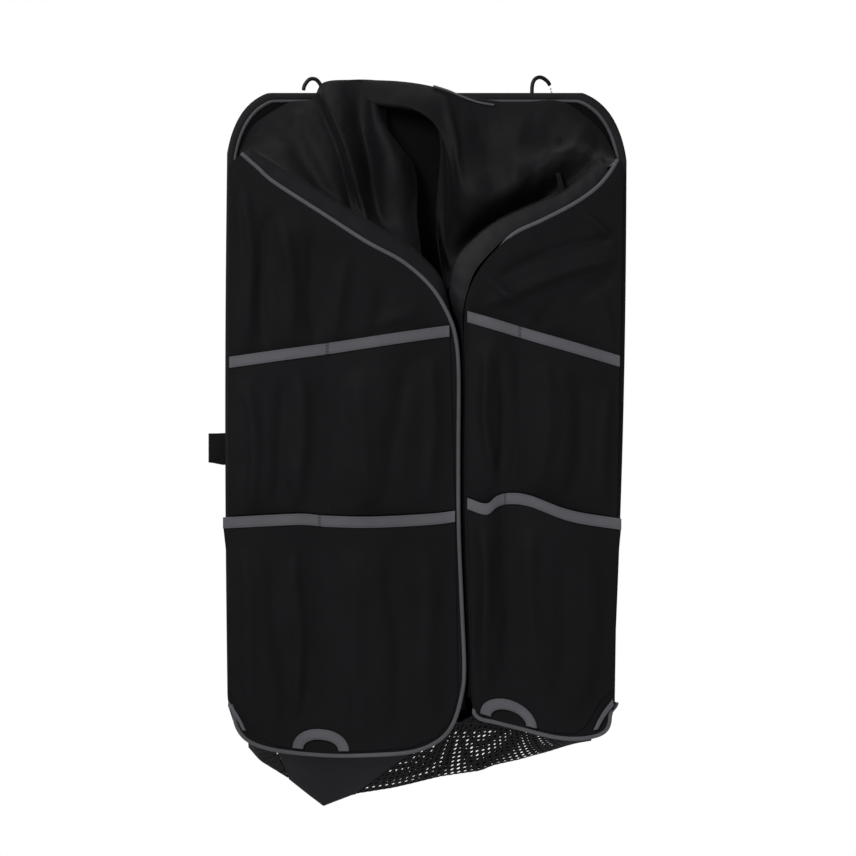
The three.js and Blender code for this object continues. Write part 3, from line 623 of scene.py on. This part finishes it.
def doorPanel(side):
    d = doors[side]
    e = edgePath(d, panel["beyondSeam"], 330)
    (hx0, hz0), (hx1, hz1) = d["hinge"]
    down = np.maximum.accumulate(-np.clip(e[:, 1], hz1, hz0))
    down = np.convolve(np.pad(down, 30, mode="reflect", reflect_type="odd"), np.ones(61) / 61, "valid")
    down = np.interp(down, [down[0], down[-1]], [-hz0, -hz1])  # where each row meets the hinge line
    h = np.stack([np.interp(down, [-hz0, -hz1], [hx0, hx1]), -down], 1)
    f = np.linspace(0, 1, 90)[None, :, None]
    g2 = h[:, None] * (1 - f) + e[:, None] * f
    x, z = g2[..., 0], g2[..., 1]
    free = insideEdge(d, x, z)
    off = free * (pressed(x, z, creases[side]) + panel["swell"] * lump(x, x * 0, z, (80, 1, 140), d["seed"])
                  + panel["ripple"] * lump(x, x * 0, z, (30, 1, 60), d["seed"] + 4))
    off = off * (1 - 0.9 * smooth((along(d["upper"], x) - z) / 30))  # calm under the pockets
    y = panel["middle"] - np.clip(off, -panel["back"], panel["forward"])
    g = np.stack([x, y, z], -1)
    cloth = standsFor(sheetMesh(f"front_panel_{side}", g, panel["thick"], bodyCloth, uv=np.stack([x, z], -1)),
                      f"{side}_door")
    round(area(g), 4)
    # the piping cord along the free edge, with the seam beside it
    path, cut = edgePath(d, piping["beyondSeam"], 420), edgePath(d, 0, 420)
    path = path + (cut - path) * 1.5 * smooth((np.linspace(0, 1, 420) - 0.955) / 0.04)[:, None]  # its end turns in
    wave = 0.35 * np.sin(np.linspace(0, 60, len(path)))
    tuck = smooth((-232 - path[:, 1]) / 34) * (side == "right") * smooth((path[:, 1] + 938) / 14)  # rolled back
    cord = np.stack([path[:, 0] + piping["rollsBack"] * tuck, panel["middle"] + wave + 5.4 * tuck, path[:, 1]], 1)
    standsFor(tube(f"door_piping_{side}", cord, piping["radius"], 12, greyCord), f"{side}_door")
    seam = edgePath(d, -piping["stitchInside"], 420)
    stitch(f"{side}_door", np.stack([seam[:, 0], np.full(len(seam), panel["middle"] - 1.1), seam[:, 1]], 1))


# Stations down each door's edge: (x, z) at the piping, then the strip's far edge (x, y, z).
strips = {
    "left": [((-262, -131), (-254, -113, -120)), ((-226, -163), (-212, -112, -146)),
             ((-154, -209), (-142, -111, -190)), ((-88, -250), (-76, -110, -231)), ((-37, -280), (-25, -108, -262)),
             ((4, -316), (15, -105, -302)), ((27.4, -357), (31.4, -101, -351)), ((39.5, -393), (43, -98.5, -391)),
             ((43.6, -450), (47.2, -97, -450)), ((43.1, -560), (46.7, -97, -560)), ((43.6, -665), (47.2, -97, -665)),
             ((47.6, -770), (51.2, -97, -770)), ((51, -868), (54.6, -97, -868)), ((48.5, -904), (54.2, -97, -905)),
             ((43.5, -931), (53.5, -97, -934))],
    "right": [((262, -150), (252, -111, -134)), ((240, -178), (226, -110, -156)), ((208, -199), (197, -109, -180)),
              ((164, -222), (151, -108, -199)), ((119, -243), (102, -107, -222)), ((93, -266), (70, -106, -246)),
              ((68, -296), (42, -105, -279)), ((54.5, -334), (33, -103, -322)), ((51, -358), (38.6, -100, -352)),
              ((51, -382), (46.6, -98, -382)), ((52, -450), (50.6, -97, -450)), ((51.6, -560), (50.1, -97, -560)),
              ((52, -665), (50.6, -97, -665)), ((56, -770), (54.6, -97, -770)), ((60, -860), (58, -97, -862)),
              ((61, -914), (57.6, -97, -914))],
}


strip = {"thick": 0.9, "cutWidth": 0.026, "sewnAt": -113.9, "belly": 0.7, "stations": 260}
zipper = {"thick": 0.7, "cutWidth": 0.01, "behind": 2.7, "covers": (-7.5, -0.5),
          "coil": {"Pitch": 1.5 * mm, "Length": 1.1 * mm, "Width": 2.1 * mm}}


def zipperSide(side):
    turn = -1 if side == "left" else 1
    n = strip["stations"]
    near = catmull([(x, strip["sewnAt"], z) for (x, z), _ in strips[side]], n)
    far = catmull([q for _, q in strips[side]], n)
    over = far - near
    over /= np.linalg.norm(over, axis=1, keepdims=True)
    t = np.gradient(far, axis=0)
    t /= np.linalg.norm(t, axis=1, keepdims=True)
    normal = np.cross(t, over)
    normal *= turn / np.linalg.norm(normal, axis=1, keepdims=True)
    f = np.linspace(0, 1, 12)[None, :, None]
    g = near[:, None] * (1 - f) + far[:, None] * f
    s = np.arange(n) * np.linalg.norm(np.diff(far, axis=0), axis=1).mean()
    ripple = (0.5 * np.sin(s / 14.0) + 0.5 * np.sin(s / 6.1 + 1.3))[:, None, None]
    g = g + normal[:, None] * np.sin(np.pi * f) * -(strip["belly"] + 0.35 * ripple)
    satin = standsFor(sheetMesh(f"centre_strip_{side}", g, strip["thick"], satinCloth), f"{side}_door")
    run = float(runAlong(near)[-1]) * mm
    wide = strip["cutWidth"]
    round(min(area(g), wide * run), 5)
    tapeAcross = np.linspace(*zipper["covers"], 5)[None, :, None]
    behind = far[:, None] + over[:, None] * tapeAcross + normal[:, None] * zipper["behind"]
    tape = standsFor(sheetMesh(f"zipper_tape_{side}", behind, zipper["thick"], zipTape), f"{side}_door")
    coilPath = evenly(far + over * 1.9 + normal * 0.7, 700)
    edges = [(i, i + 1) for i in range(len(coilPath) - 1)]
    standsFor(repeated(f"zipper_coil_{side}", coilPath, edges, [], dashes, {**zipper["coil"], "Material": coilNylon}),
              f"{side}_door")
    for k in (0.12, 0.9):
        line = near * (1 - k) + far * k - normal * (0.9 * math.sin(math.pi * k) + 0.75)
        stitch(f"{side}_door", line)


pouch = {"thick": 1.2, "seat": -119.7, "stand": {"upper": 8.0, "lower": 11.0}, "deepest": 6.5, "swell": 3.4,
         "ripple": 1.1}
mouthTape = {"thick": 2.2, "width": 15.8, "cutWidth": 0.018}
moon = {"width": 41.5, "height": 32, "band": 15.5, "thick": 2.0, "cut": (0.016, 0.13)}  # the drain's half-moon opening
cornerTape = {"thick": 1.8, "cut": (0.01, 0.055)}


def pocket(side, level):
    d = doors[side]
    lower = level == "lower"
    seam = d["seams"][level]
    outer = lambda z: float(d["outer"](z))
    inner = lambda z: float(np.interp(-z, *np.array(d["inner"], float).T))
    mouth = d[level]
    z0 = along(mouth, outer(-500.0))
    zInner = mouth[-1][1] if side == "left" else mouth[0][1]
    bottomZ = -920 if lower else -640
    xOut, xIn = outer(z0), inner(zInner - 8)
    xOutLow, xInLow = outer(bottomZ), inner(-911 if lower else bottomZ)
    seamAt = (seam - xOut) / (xIn - xOut)
    half = moon["width"] / abs(xInLow - xOutLow)
    cols = np.concatenate([np.linspace(0, seamAt - half, 16, endpoint=False),
                           seamAt - half * np.cos(np.linspace(0, np.pi, 37)),
                           np.linspace(seamAt + half, 1, 34)[1:]])
    if not lower:
        cols = np.concatenate([np.linspace(0, seamAt, 40, endpoint=False), np.linspace(seamAt, 1, 46)])

    def place(top, drop, rows, thick, folds=True):  # a grid of points from top below the mouth, drop tall or to the hem
        v = np.linspace(0, 1, rows)[:, None]
        f = cols[None, :]
        xTop, xLow = xOut + (xIn - xOut) * f, xOutLow + (xInLow - xOutLow) * f
        zTop = catmullAlong(mouth, xTop) - top
        if drop is None:
            t = (f - seamAt) / half
            notch = np.where(np.abs(t) < 1, moon["height"] * np.sqrt(np.maximum(0, 1 - t * t)), 0) if lower else 0
            zLow = (along(d["hem"], xLow) if lower else catmullAlong(d["lower"], xLow) + 2) + notch
            down = v
        else:
            zLow, down = zTop - drop, v * 0
        z = zTop + (zLow - zTop) * v
        x = xTop + (xLow - xTop) * down
        if lower:
            x = x + d["flare"] * (1 - f) ** 6 * (1 - np.clip(down * 3, 0, 1))
        part = np.where(f < seamAt, f / seamAt, (f - seamAt) / (1 - seamAt))
        stand = pouch["stand"][level] * np.sin(np.pi * np.clip(part, 0, 1)) ** 1.6
        off = stand * (1 - smooth((down - 0.72) / 0.28))
        y = pouch["seat"] - thick / 2 - off
        if folds:
            calm = smooth(np.abs(part * (1 - part)) * 7) * smooth((1 - down) * 9) * smooth((down - 0.04) * 9)
            deep = pouch["deepest"]
            y = y - calm * (np.clip(pressed(x, z, pocketFolds[(side, level)]), -deep, deep) * smooth((down - 0.08) * 5)
                            + pouch["swell"] * lump(x, x * 0, z, (52, 1, 120), d["seed"] + len(level))
                            + pouch["ripple"] * lump(x, x * 0, z, (20, 1, 46), d["seed"] + 11))
            y = np.minimum(y, pouch["seat"] - thick / 2)
        return np.stack(np.broadcast_arrays(x, y, z), -1)

    g = place(12.0, None, 76, pouch["thick"])
    body = sheetMesh(f"{level}_pocket_{side}", g, pouch["thick"], pocketCloth, uv=g[..., [0, 2]])
    standsFor(body, f"{side}_door")
    w = abs(xIn - xOut) * mm * 1.06
    l = float(g[0, :, 2].max() - g[-1, :, 2].min()) * mm
    round(min(area(g), w * l), 5)
    band = place(0.2, mouthTape["width"], 9, 2.6, folds=False)
    v = np.linspace(0, 1, 9)[:, None]
    band[..., 1] -= 0.5 * np.sin(np.pi * v) ** 0.5 + 0.5
    band[..., 1] += 0.25 * lump(band[..., 0], v * 0, band[..., 2], (9, 1, 9), 5 + d["seed"])
    tape = standsFor(sheetMesh(f"{level}_pocket_binding_{side}", band, mouthTape["thick"], greyTape), f"{side}_door")
    length, wide = float(runAlong(band[4])[-1]) * mm, mouthTape["cutWidth"]
    round(min(area(band), wide * length), 5)
    for row in (7, 1):
        stitch(f"{side}_door", band[row, 2:-2] + np.array([0, -1.2, 0]), grey=True)
    k = int(np.argmin(np.abs(cols - seamAt)))  # the seam that divides the pocket
    for dx in (-1.6, 1.6):
        stitch(f"{side}_door", evenly(g[1:-1, k] + np.array([dx, -0.9, 0]), 80))
    for dx in np.linspace(-2.0, 2.0, 5):
        stitch(f"{side}_door", evenly(band[:, k] + np.array([dx, -1.3, 0]), 24))  # bartack
    for line in (g[2:-1, 1], g[2:-1, -2]):
        stitch(f"{side}_door", evenly(line + np.array([0, -0.8, 0]), 90))
    if not lower:
        return
    cx = xOutLow + (xInLow - xOutLow) * seamAt
    a = np.linspace(0, np.pi, 60)
    rings = []
    for inset in np.linspace(1.0, moon["band"], 9):
        x = cx + (moon["width"] - inset) * np.cos(a)
        z = along(d["hem"], x) + (moon["height"] - inset) * np.sin(a)
        rings.append(np.stack([x, 0 * x, z], 1))
    ring = np.array(rings)
    s = np.linspace(0, 1, 9)[:, None]
    uneven = 0.25 * lump(ring[..., 0], s * 0, ring[..., 2], (6, 1, 6), 2)
    ring[..., 1] = -121.3 - 1.0 * np.sin(np.pi * s) ** 0.6 + uneven
    arch = standsFor(sheetMesh(f"drain_binding_{side}", ring, moon["thick"], greyTape), f"{side}_door")
    round(area(ring), 5)
    for row in (1, 7):
        stitch(f"{side}_door", ring[row] + np.array([0, -1.1, 0]), grey=True)
    above, below = (catmull([(x, 0, z) for x, z in line], 50) for line in d["corner"])
    s = np.linspace(0, 1, 6)[:, None, None]
    hook = above[None] * (1 - s) + below[None] * s
    hook[..., 1] = -121.2 - 0.8 * np.sin(np.pi * s[..., 0])
    corner = standsFor(sheetMesh(f"corner_binding_{side}", hook, cornerTape["thick"], greyTape), f"{side}_door")
    round(max(area(hook), 0.0002), 6)


for side in ("left", "right"):
    doorPanel(side)
    zipperSide(side)
    pocket(side, "upper")
    pocket(side, "lower")
print("doors done")


def patch(rows, nu, nv):
    lines = np.array([catmull(r, nv) for r in rows])
    return np.stack([catmull(lines[:, k], nu) for k in range(nv)], 1)


topRows = {
    "left": [[(-281, -21, -114), (-280, -24, -112), (-278, -38, -118), (-274, -60, -124), (-268, -84, -130),
              (-262, -107, -134)],
             [(-260, -21, -76), (-258, -24, -72), (-253, -38, -92), (-240, -62, -112), (-224, -86, -136),
              (-208, -107, -160)],
             [(-210, -21, -44), (-208, -24, -41), (-196, -42, -76), (-178, -62, -120), (-158, -76, -172),
              (-140, -106, -204)],
             [(-174, -21, -40), (-171, -24, -34), (-156, -54, -66), (-134, -74, -116), (-114, -76, -190),
              (-98, -105, -232)],
             [(-160, -21, -36), (-155, -25, -9), (-138, -60, -52), (-116, -80, -112), (-96, -76, -194),
              (-76, -105, -243)],
             [(-118, -21, -36), (-114, -25, -5), (-104, -34, -56), (-90, -42, -120), (-74, -56, -208),
              (-56, -104, -258)],
             [(-88, -21, -36), (-84, -24, -5), (-74, -46, -60), (-50, -70, -120), (-40, -72, -214), (-32, -103, -274)],
             [(-62, -21, -36), (-60, -22.5, -8), (-60, -30, -76), (-20, -38, -138), (-16, -58, -215), (-6, -98, -296)]],
    "right": [[(280, -21, -120), (279, -24, -118), (277, -40, -124), (274, -62, -130), (270, -84, -136),
               (264, -107, -142)],
              [(256, -21, -82), (254, -24, -78), (248, -46, -104), (240, -74, -124), (234, -82, -150),
               (228, -106, -170)],
              [(200, -21, -44), (198, -24, -40), (190, -48, -96), (180, -80, -130), (172, -50, -188),
               (166, -104, -204)],
              [(130, -21, -46), (128, -24, -42), (120, -46, -104), (128, -84, -164), (116, -44, -220),
               (106, -102, -232)],
              [(62, -21, -42), (60, -25, -32), (54, -48, -94), (72, -86, -184), (64, -38, -250), (66, -100, -264)],
              [(8, -21, -38), (6, -26, -15), (24, -52, -66), (38, -68, -160), (34, -32, -276), (42, -97, -300)],
              [(-46, -21, -36), (-44, -26, -7), (-30, -52, -46), (22, -46, -84), (22, -27, -246), (30, -94, -318)],
              [(-98, -21, -36), (-96, -25.5, -5), (-84, -44, -40), (12, -34, -74), (12, -26, -215), (24, -90, -320)]],
}
# Folds across the raised top: start and end as (across, along) from 0 to 1, half width, height in mm.
topFolds = {
    "left": [((0.16, 0.3), (0.2, 0.9), 0.05, 5), ((0.3, 0.3), (0.36, 0.8), 0.05, 6),
             ((0.44, 0.3), (0.42, 0.9), 0.03, -5), ((0.53, 0.25), (0.55, 0.85), 0.03, 6),
             ((0.85, 0.25), (0.78, 0.8), 0.04, 5)],
    "right": [((0.5, 0.3), (0.5, 0.6), 0.04, 6), ((0.4, 0.3), (0.42, 0.6), 0.03, -5),
              ((0.3, 0.25), (0.34, 0.6), 0.035, 6), ((0.2, 0.25), (0.24, 0.6), 0.03, -5),
              ((0.12, 0.25), (0.15, 0.7), 0.03, 5), ((0.68, 0.3), (0.66, 0.55), 0.03, -5)],
}


def topGusset(side):
    g = patch(topRows[side], 150, 90)
    n = gridNormals(g)
    nu, nv = 150, 90
    u = np.linspace(0, 1, nu)[:, None]
    v = np.linspace(0, 1, nv)[None, :]
    lift = np.zeros((nu, nv))
    for (u0, v0), (u1, v1), half, height in topFolds[side]:
        d = np.array([u1 - u0, v1 - v0])
        length = np.hypot(*d)
        d /= length
        t = (u - u0) * d[0] + (v - v0) * d[1]
        across = (u - u0) * -d[1] + (v - v0) * d[0]
        ends = smooth((t + 0.1) / 0.15) * smooth((length + 0.1 - t) / 0.15)
        lift += height * ends * np.exp(-(across / half) ** 2)
    where = g[..., 0], g[..., 1], g[..., 2]
    lift += 3.4 * lump(*where, (40, 40, 60), 3.0) + 0.9 * lump(*where, (15, 15, 24), 8.0)
    calm = smooth((v - 0.17) / 0.2) * smooth((1 - v) / 0.14) * smooth(u / 0.06) * smooth((1 - u) / 0.05)
    g = g + n * (lift * calm)[..., None]
    g[..., 1] = np.minimum(g[..., 1], -20.6)
    cloth = sheetMesh(f"top_gusset_{side}", g, 1.2, gussetCloth)
    standsFor(cloth, "bag")
    w, l = (0.36, 0.27) if side == "left" else (0.42, 0.31)
    round(min(area(g), w * l), 4)
    stitch("bag", g[3:-3, -4] + gridNormals(g)[3:-3, -4] * 0.7)
    stitch("bag", g[3:-3, -9] + gridNormals(g)[3:-3, -9] * 0.7)


def sideGusset(side):
    x0, lean = (-285, 3) if side == "left" else (279, -17)
    u = np.linspace(0, 1, 160)[:, None]
    v = np.linspace(0, 1, 30)[None, :]
    z = -146 - 800 * u + 0 * v
    fold = 20 + 48 * smooth(u * 6) - 38 * smooth(u * 6 - 5) + 4 * np.sin(11 * u)
    across = np.sin(np.pi * v)
    x = x0 + lean * u + np.sin(7 * u) - np.sign(x0) * fold * np.maximum(across, 0)
    y = -20.6 - 90.4 * v + 0 * u
    x = x + across * 1.6 * lump(x, y, z, (30, 30, 70), 5.0)
    g = np.stack([x, y, z], -1)
    cloth = sheetMesh(f"side_gusset_{side}", g, 1.2, gussetCloth)
    standsFor(cloth, "bag")
    round(min(area(g), 0.126), 4)


foldLine = [(-268, -990), (-247, -1015), (-204, -1043), (-154, -1084), (-112, -1067), (-51, -1057), (18, -1040),
            (77, -1032), (96, -1023), (135, -1014), (175, -1002), (204, -992), (218, -988), (244, -984)]
seamLine = [(-288, -924), (-276, -954), (-254, -973), (-218, -984), (-151, -991), (-90, -991), (-25, -986), (12, -971),
            (75, -936), (97, -943), (133, -952), (181, -964), (216, -967), (246, -962), (260, -950)]


def bottomPoint(start, end, u, v):
    folded = np.maximum(0, 1 - np.sqrt((2 * v - 1) ** 2 + 0.0025))
    x = (start[0] + (start[1] - start[0]) * folded) * (1 - u) + (end[0] + (end[1] - end[0]) * folded) * u
    hem = np.where(v < 0.5, -966 + 0.1 * np.maximum(0, np.abs(x) - 200), along(seamLine, x) + 1)
    z = hem + (along(foldLine, x) - hem) * folded
    y = -20.6 - 90.4 * v + 0 * u
    y = y + 3.0 * np.sin(np.pi * v) * lump(x, y * 0, z, (40, 1, 40), 8.0)
    return np.stack(np.broadcast_arrays(x, y, z), -1)


def bottomCloth(name, start, end):
    u, v = np.linspace(0, 1, 70)[None, :], np.linspace(0, 1, 61)[:, None]
    g = bottomPoint(start, end, u, v)
    cloth = sheetMesh(name, g, 1.2, patchCloth)
    standsFor(cloth, "bag")
    round(min(area(g), 0.05), 4)
    for k in (1, -2):
        stitch("bag", evenly(g[:, k] + gridNormals(g)[:, k] * 0.7, 60))
        stitch("bag", evenly(g[:, k] - gridNormals(g)[:, k] * 0.7, 60))


# a net of hexagons laid over the folded gusset, whose holes are opened by the net_holes tree
def bottomMesh(name, start, end):
    net = {"pitch": 7.0, "share": 0.5 if name.endswith("right") else 0.34, "length": 160.0, "thread": 0.7}
    wide = abs(end[0] - start[0])
    nu = max(3, int(round(wide / net["pitch"])))
    nv = int(round(net["length"] / (net["pitch"] * 0.866)))
    verts, faces, index = [], [], {}

    def point(a, b):
        key = (int(round(a * 6)), int(round(b * 6)))
        if key not in index:
            index[key] = len(verts)
            u = np.clip(a / nu, 0, 1)
            v = np.clip(b / nv, 0, 1)
            verts.append(bottomPoint(start, end, np.array([[u]]), np.array([[v]]))[0, 0])
        return index[key]

    for j in range(nv + 1):
        for i in range(nu + 1):
            ca, cb = i + 0.5 * (j % 2), float(j)
            ring = []
            for da, db in ((0, 2 / 3), (-0.5, 1 / 3), (-0.5, -1 / 3), (0, -2 / 3), (0.5, -1 / 3), (0.5, 1 / 3)):
                a, b = np.clip(ca + da, 0, nu), np.clip(cb + db, 0, nv)
                p = point(float(a), float(b))
                if p not in ring:
                    ring.append(p)
            if len(ring) >= 3:
                faces.append(tuple(ring))
    v = np.array(verts)
    net2 = repeated(name, v, [], faces, holes, {"Hole share": net["share"], "Material": meshCloth},
                    solid=net["thread"], uv=v[:, [0, 2]])
    standsFor(net2, "bag")


for side in ("left", "right"):
    topGusset(side)
    sideGusset(side)
bottomCloth("bottom_patch", (-226, -203), (-4, -113))
bottomMesh("bottom_mesh_left", (-262, -264), (-228, -205))
bottomMesh("bottom_mesh_right", (-2, -111), (240, 240))

topPiping = tube("top_gusset_piping", catmull([(8, -28.8, -14), (30, -28.6, -21), (50, -28.4, -29.5), (74, -28.4, -38),
                                              (98, -28.4, -42.5)], 60), 1.6, 10, edgeCord)
standsFor(topPiping, "bag")
u = np.linspace(0, 1, 90)
tapePath = np.stack([191 + 3 * np.sin(9 * u), -51 - 33 * u + 0.5 * np.sin(17 * u), -92 - 84 * u], 1)
tapeEnd = ribbon("loose_tape_end", tapePath, (1, 0, 0.2), 7, 0.5, zipTape)
standsFor(tapeEnd, "bag")
print("gussets done")


handle = {"width": 48.4, "z": -554.5, "thick": 0.95,
          "path": [(-240, -4.9), (-262, -4.4), (-276, 0.6), (-286, 6.6), (-308, 12.3), (-321, 10.8), (-328.4, 4.6),
                   (-327.4, -2.4), (-317.5, -5.2), (-304, -6.0)]}
path = evenly(catmull([(x, y, handle["z"]) for x, y in handle["path"]], 200), 120)
out = smooth((-path[:, 0] - 300) / 28)
path[:, 2] += 1.5 * out
sideHandle = ribbon("side_handle", path, (0, 0, 1), handle["width"] - 4.5 * out, handle["thick"], webbing)
standsFor(sideHandle, "bag")
for dz in (-18, 18):
    stitch("bag", np.array([(-241, -3.8, handle["z"] + dz), (-256, -3.6, handle["z"] + dz)]))
for dx in (-242, -255):
    stitch("bag", np.array([(dx, -3.8, handle["z"] + k) for k in np.linspace(-18, 18, 12)]))


def hangingLoop(side, x):
    a = np.radians(np.linspace(205, -25, 40))
    ring = [(6.45 * math.cos(k) * -1, 6.45 * math.sin(k)) for k in a[::-1]]
    pts = [(-4.5, -60), (-4.5, -30), (-4.0, -19), (0.5, -11.5), (4.6, -5.2)] + ring[4:-4] + [(-6.6, -12), (-7.1, -18),
                                                                                             (-7.1, -60)]
    loop = evenly(catmull([(x, y, -56 + z) for y, z in pts], 400), 220)
    obj = ribbon(f"hanging_loop_{side}", loop, (1, 0, 0), 12, 0.6, webbing)
    standsFor(obj, "bag")
    for z in (-74, -82, -90, -98, -106, -112):
        stitch("bag", np.array([(x - 4.4, -3.6, z), (x + 4.4, -3.6, z)]))


hangingLoop("left", -158.5)
hangingLoop("right", 170)


carabinerLine = [(18, 0, 17), (17.8, 0, 8), (14.5, 0, 2.2), (8, 0, 0), (0, 0, 0), (-8, 0, 0), (-12.2, 0, 2.6),
                 (-13.6, 0, 9), (-14, 0, 30), (-13.6, 0, 46), (-10.4, 0, 55.2), (-4, 0, 59), (2.5, 0, 57.8),
                 (9.4, 0, 52.6), (13.2, 0, 46.6)]
gateLine = [(18, -4.4, 17.5), (17.2, -4.4, 26), (15.2, -4.2, 37), (14.2, -2.6, 41.4), (14, 0, 42), (14.2, 2.6, 41.4),
            (15.2, 4.2, 37), (17.2, 4.4, 26), (18, 4.4, 17.5)]


def carabiner(side, sign, tilt, x):
    def put(points):
        c, s = math.cos(-tilt), math.sin(-tilt)
        p = np.array(points, float) * (sign, 1, 1)
        return np.stack([p[:, 0] * c + p[:, 2] * s + x, p[:, 1], -p[:, 0] * s + p[:, 2] * c - 56], 1)
    rodPath = put(catmull(carabinerLine, 160))
    radius = 3.0 * np.sqrt(np.clip(np.minimum(np.linspace(0, 60, 160) + 0.25, np.linspace(60, 0, 160) + 0.25), 0, 1))
    standsFor(tube(f"carabiner_{side}", rodPath, radius, 24, blackMetal), f"{side}_carabiner")
    standsFor(tube(f"wire_gate_{side}", put(catmull(gateLine, 90)), 0.95, 12, wireMetal), f"{side}_gate")


carabiner("left", -1, math.radians(20), -158.5)
carabiner("right", 1, 0.0, 170)

for node, material in (("zip_slider", mouldedNylon), ("zip_pull", mouldedNylon),
                       ("back_stiffener_board", boardPlastic)):
    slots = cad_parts[node].data.materials
    if len(slots):
        slots[0] = material
    else:
        slots.append(material)
sewAll()
print("hardware done")


def floorMaterial():
    m, t, shader, place = startMaterial("matt_pale_floor_paint")  # rolled paint: pale and dull
    grain = addNode(t, "ShaderNodeTexNoise", {"Vector": place, "Scale": 60.0, "Detail": 4.0}).outputs["Fac"]
    roughFrom(t, shader, grain, 0.7, 0.85)
    shader.inputs["Base Color"].default_value = lin("ededed")
    return m


bpy.ops.mesh.primitive_circle_add(vertices=96, radius=2.0, fill_type="NGON", location=(0, 0, -1.6))
floor = bpy.context.object
floor.name = "floor"
floor.data.materials.append(floorMaterial())

world = bpy.data.worlds.new("pale studio")
scene.world = world
world.use_nodes = True
wt = world.node_tree
wt.nodes.clear()
seen = addNode(wt, "ShaderNodeBackground", {"Color": (1, 1, 1, 1), "Strength": 1.0})
lit = addNode(wt, "ShaderNodeBackground", {"Color": (1, 1, 1, 1), "Strength": 0.22})
which = addNode(wt, "ShaderNodeMixShader", {0: addNode(wt, "ShaderNodeLightPath").outputs["Is Camera Ray"],
                                           1: lit.outputs[0], 2: seen.outputs[0]})
wt.links.new(which.outputs[0], addNode(wt, "ShaderNodeOutputWorld").inputs[0])


def areaLight(name, place, aim, size, power):
    data = bpy.data.lights.new(name, "AREA")
    data.shape, data.size, data.size_y, data.energy = "RECTANGLE", size[0], size[1], power
    lamp = bpy.data.objects.new(name, data)
    lamp.location = place
    lamp.rotation_euler = (Vector(aim) - Vector(place)).to_track_quat("-Z", "Y").to_euler()
    scene.collection.objects.link(lamp)


areaLight("key light", (-1.6, -2.4, 1.3), (0, 0, -0.5), (1.0, 1.4), 62)
areaLight("fill light", (2.2, -2.2, -0.2), (0, 0, -0.5), (1.4, 2.0), 12)
areaLight("top light", (0.0, 0.6, 1.6), (0, 0, -0.4), (1.6, 0.8), 9)
areaLight("rear light", (1.6, 2.8, 0.4), (0, 0, -0.5), (1.4, 1.8), 55)
areaLight("rear fill", (-2.4, 2.0, -0.2), (0, 0, -0.5), (1.4, 1.8), 22)
print("floor, lights and camera done")

camData = bpy.data.cameras.new("camera")
camData.lens, camData.sensor_width = 100, 36
cam = bpy.data.objects.new("camera", camData)
cam.location = (0, -3.567, -0.523)
cam.rotation_euler = (math.radians(90), 0, 0)
scene.collection.objects.link(cam)
scene.camera = cam
scene.view_settings.view_transform = "Standard"
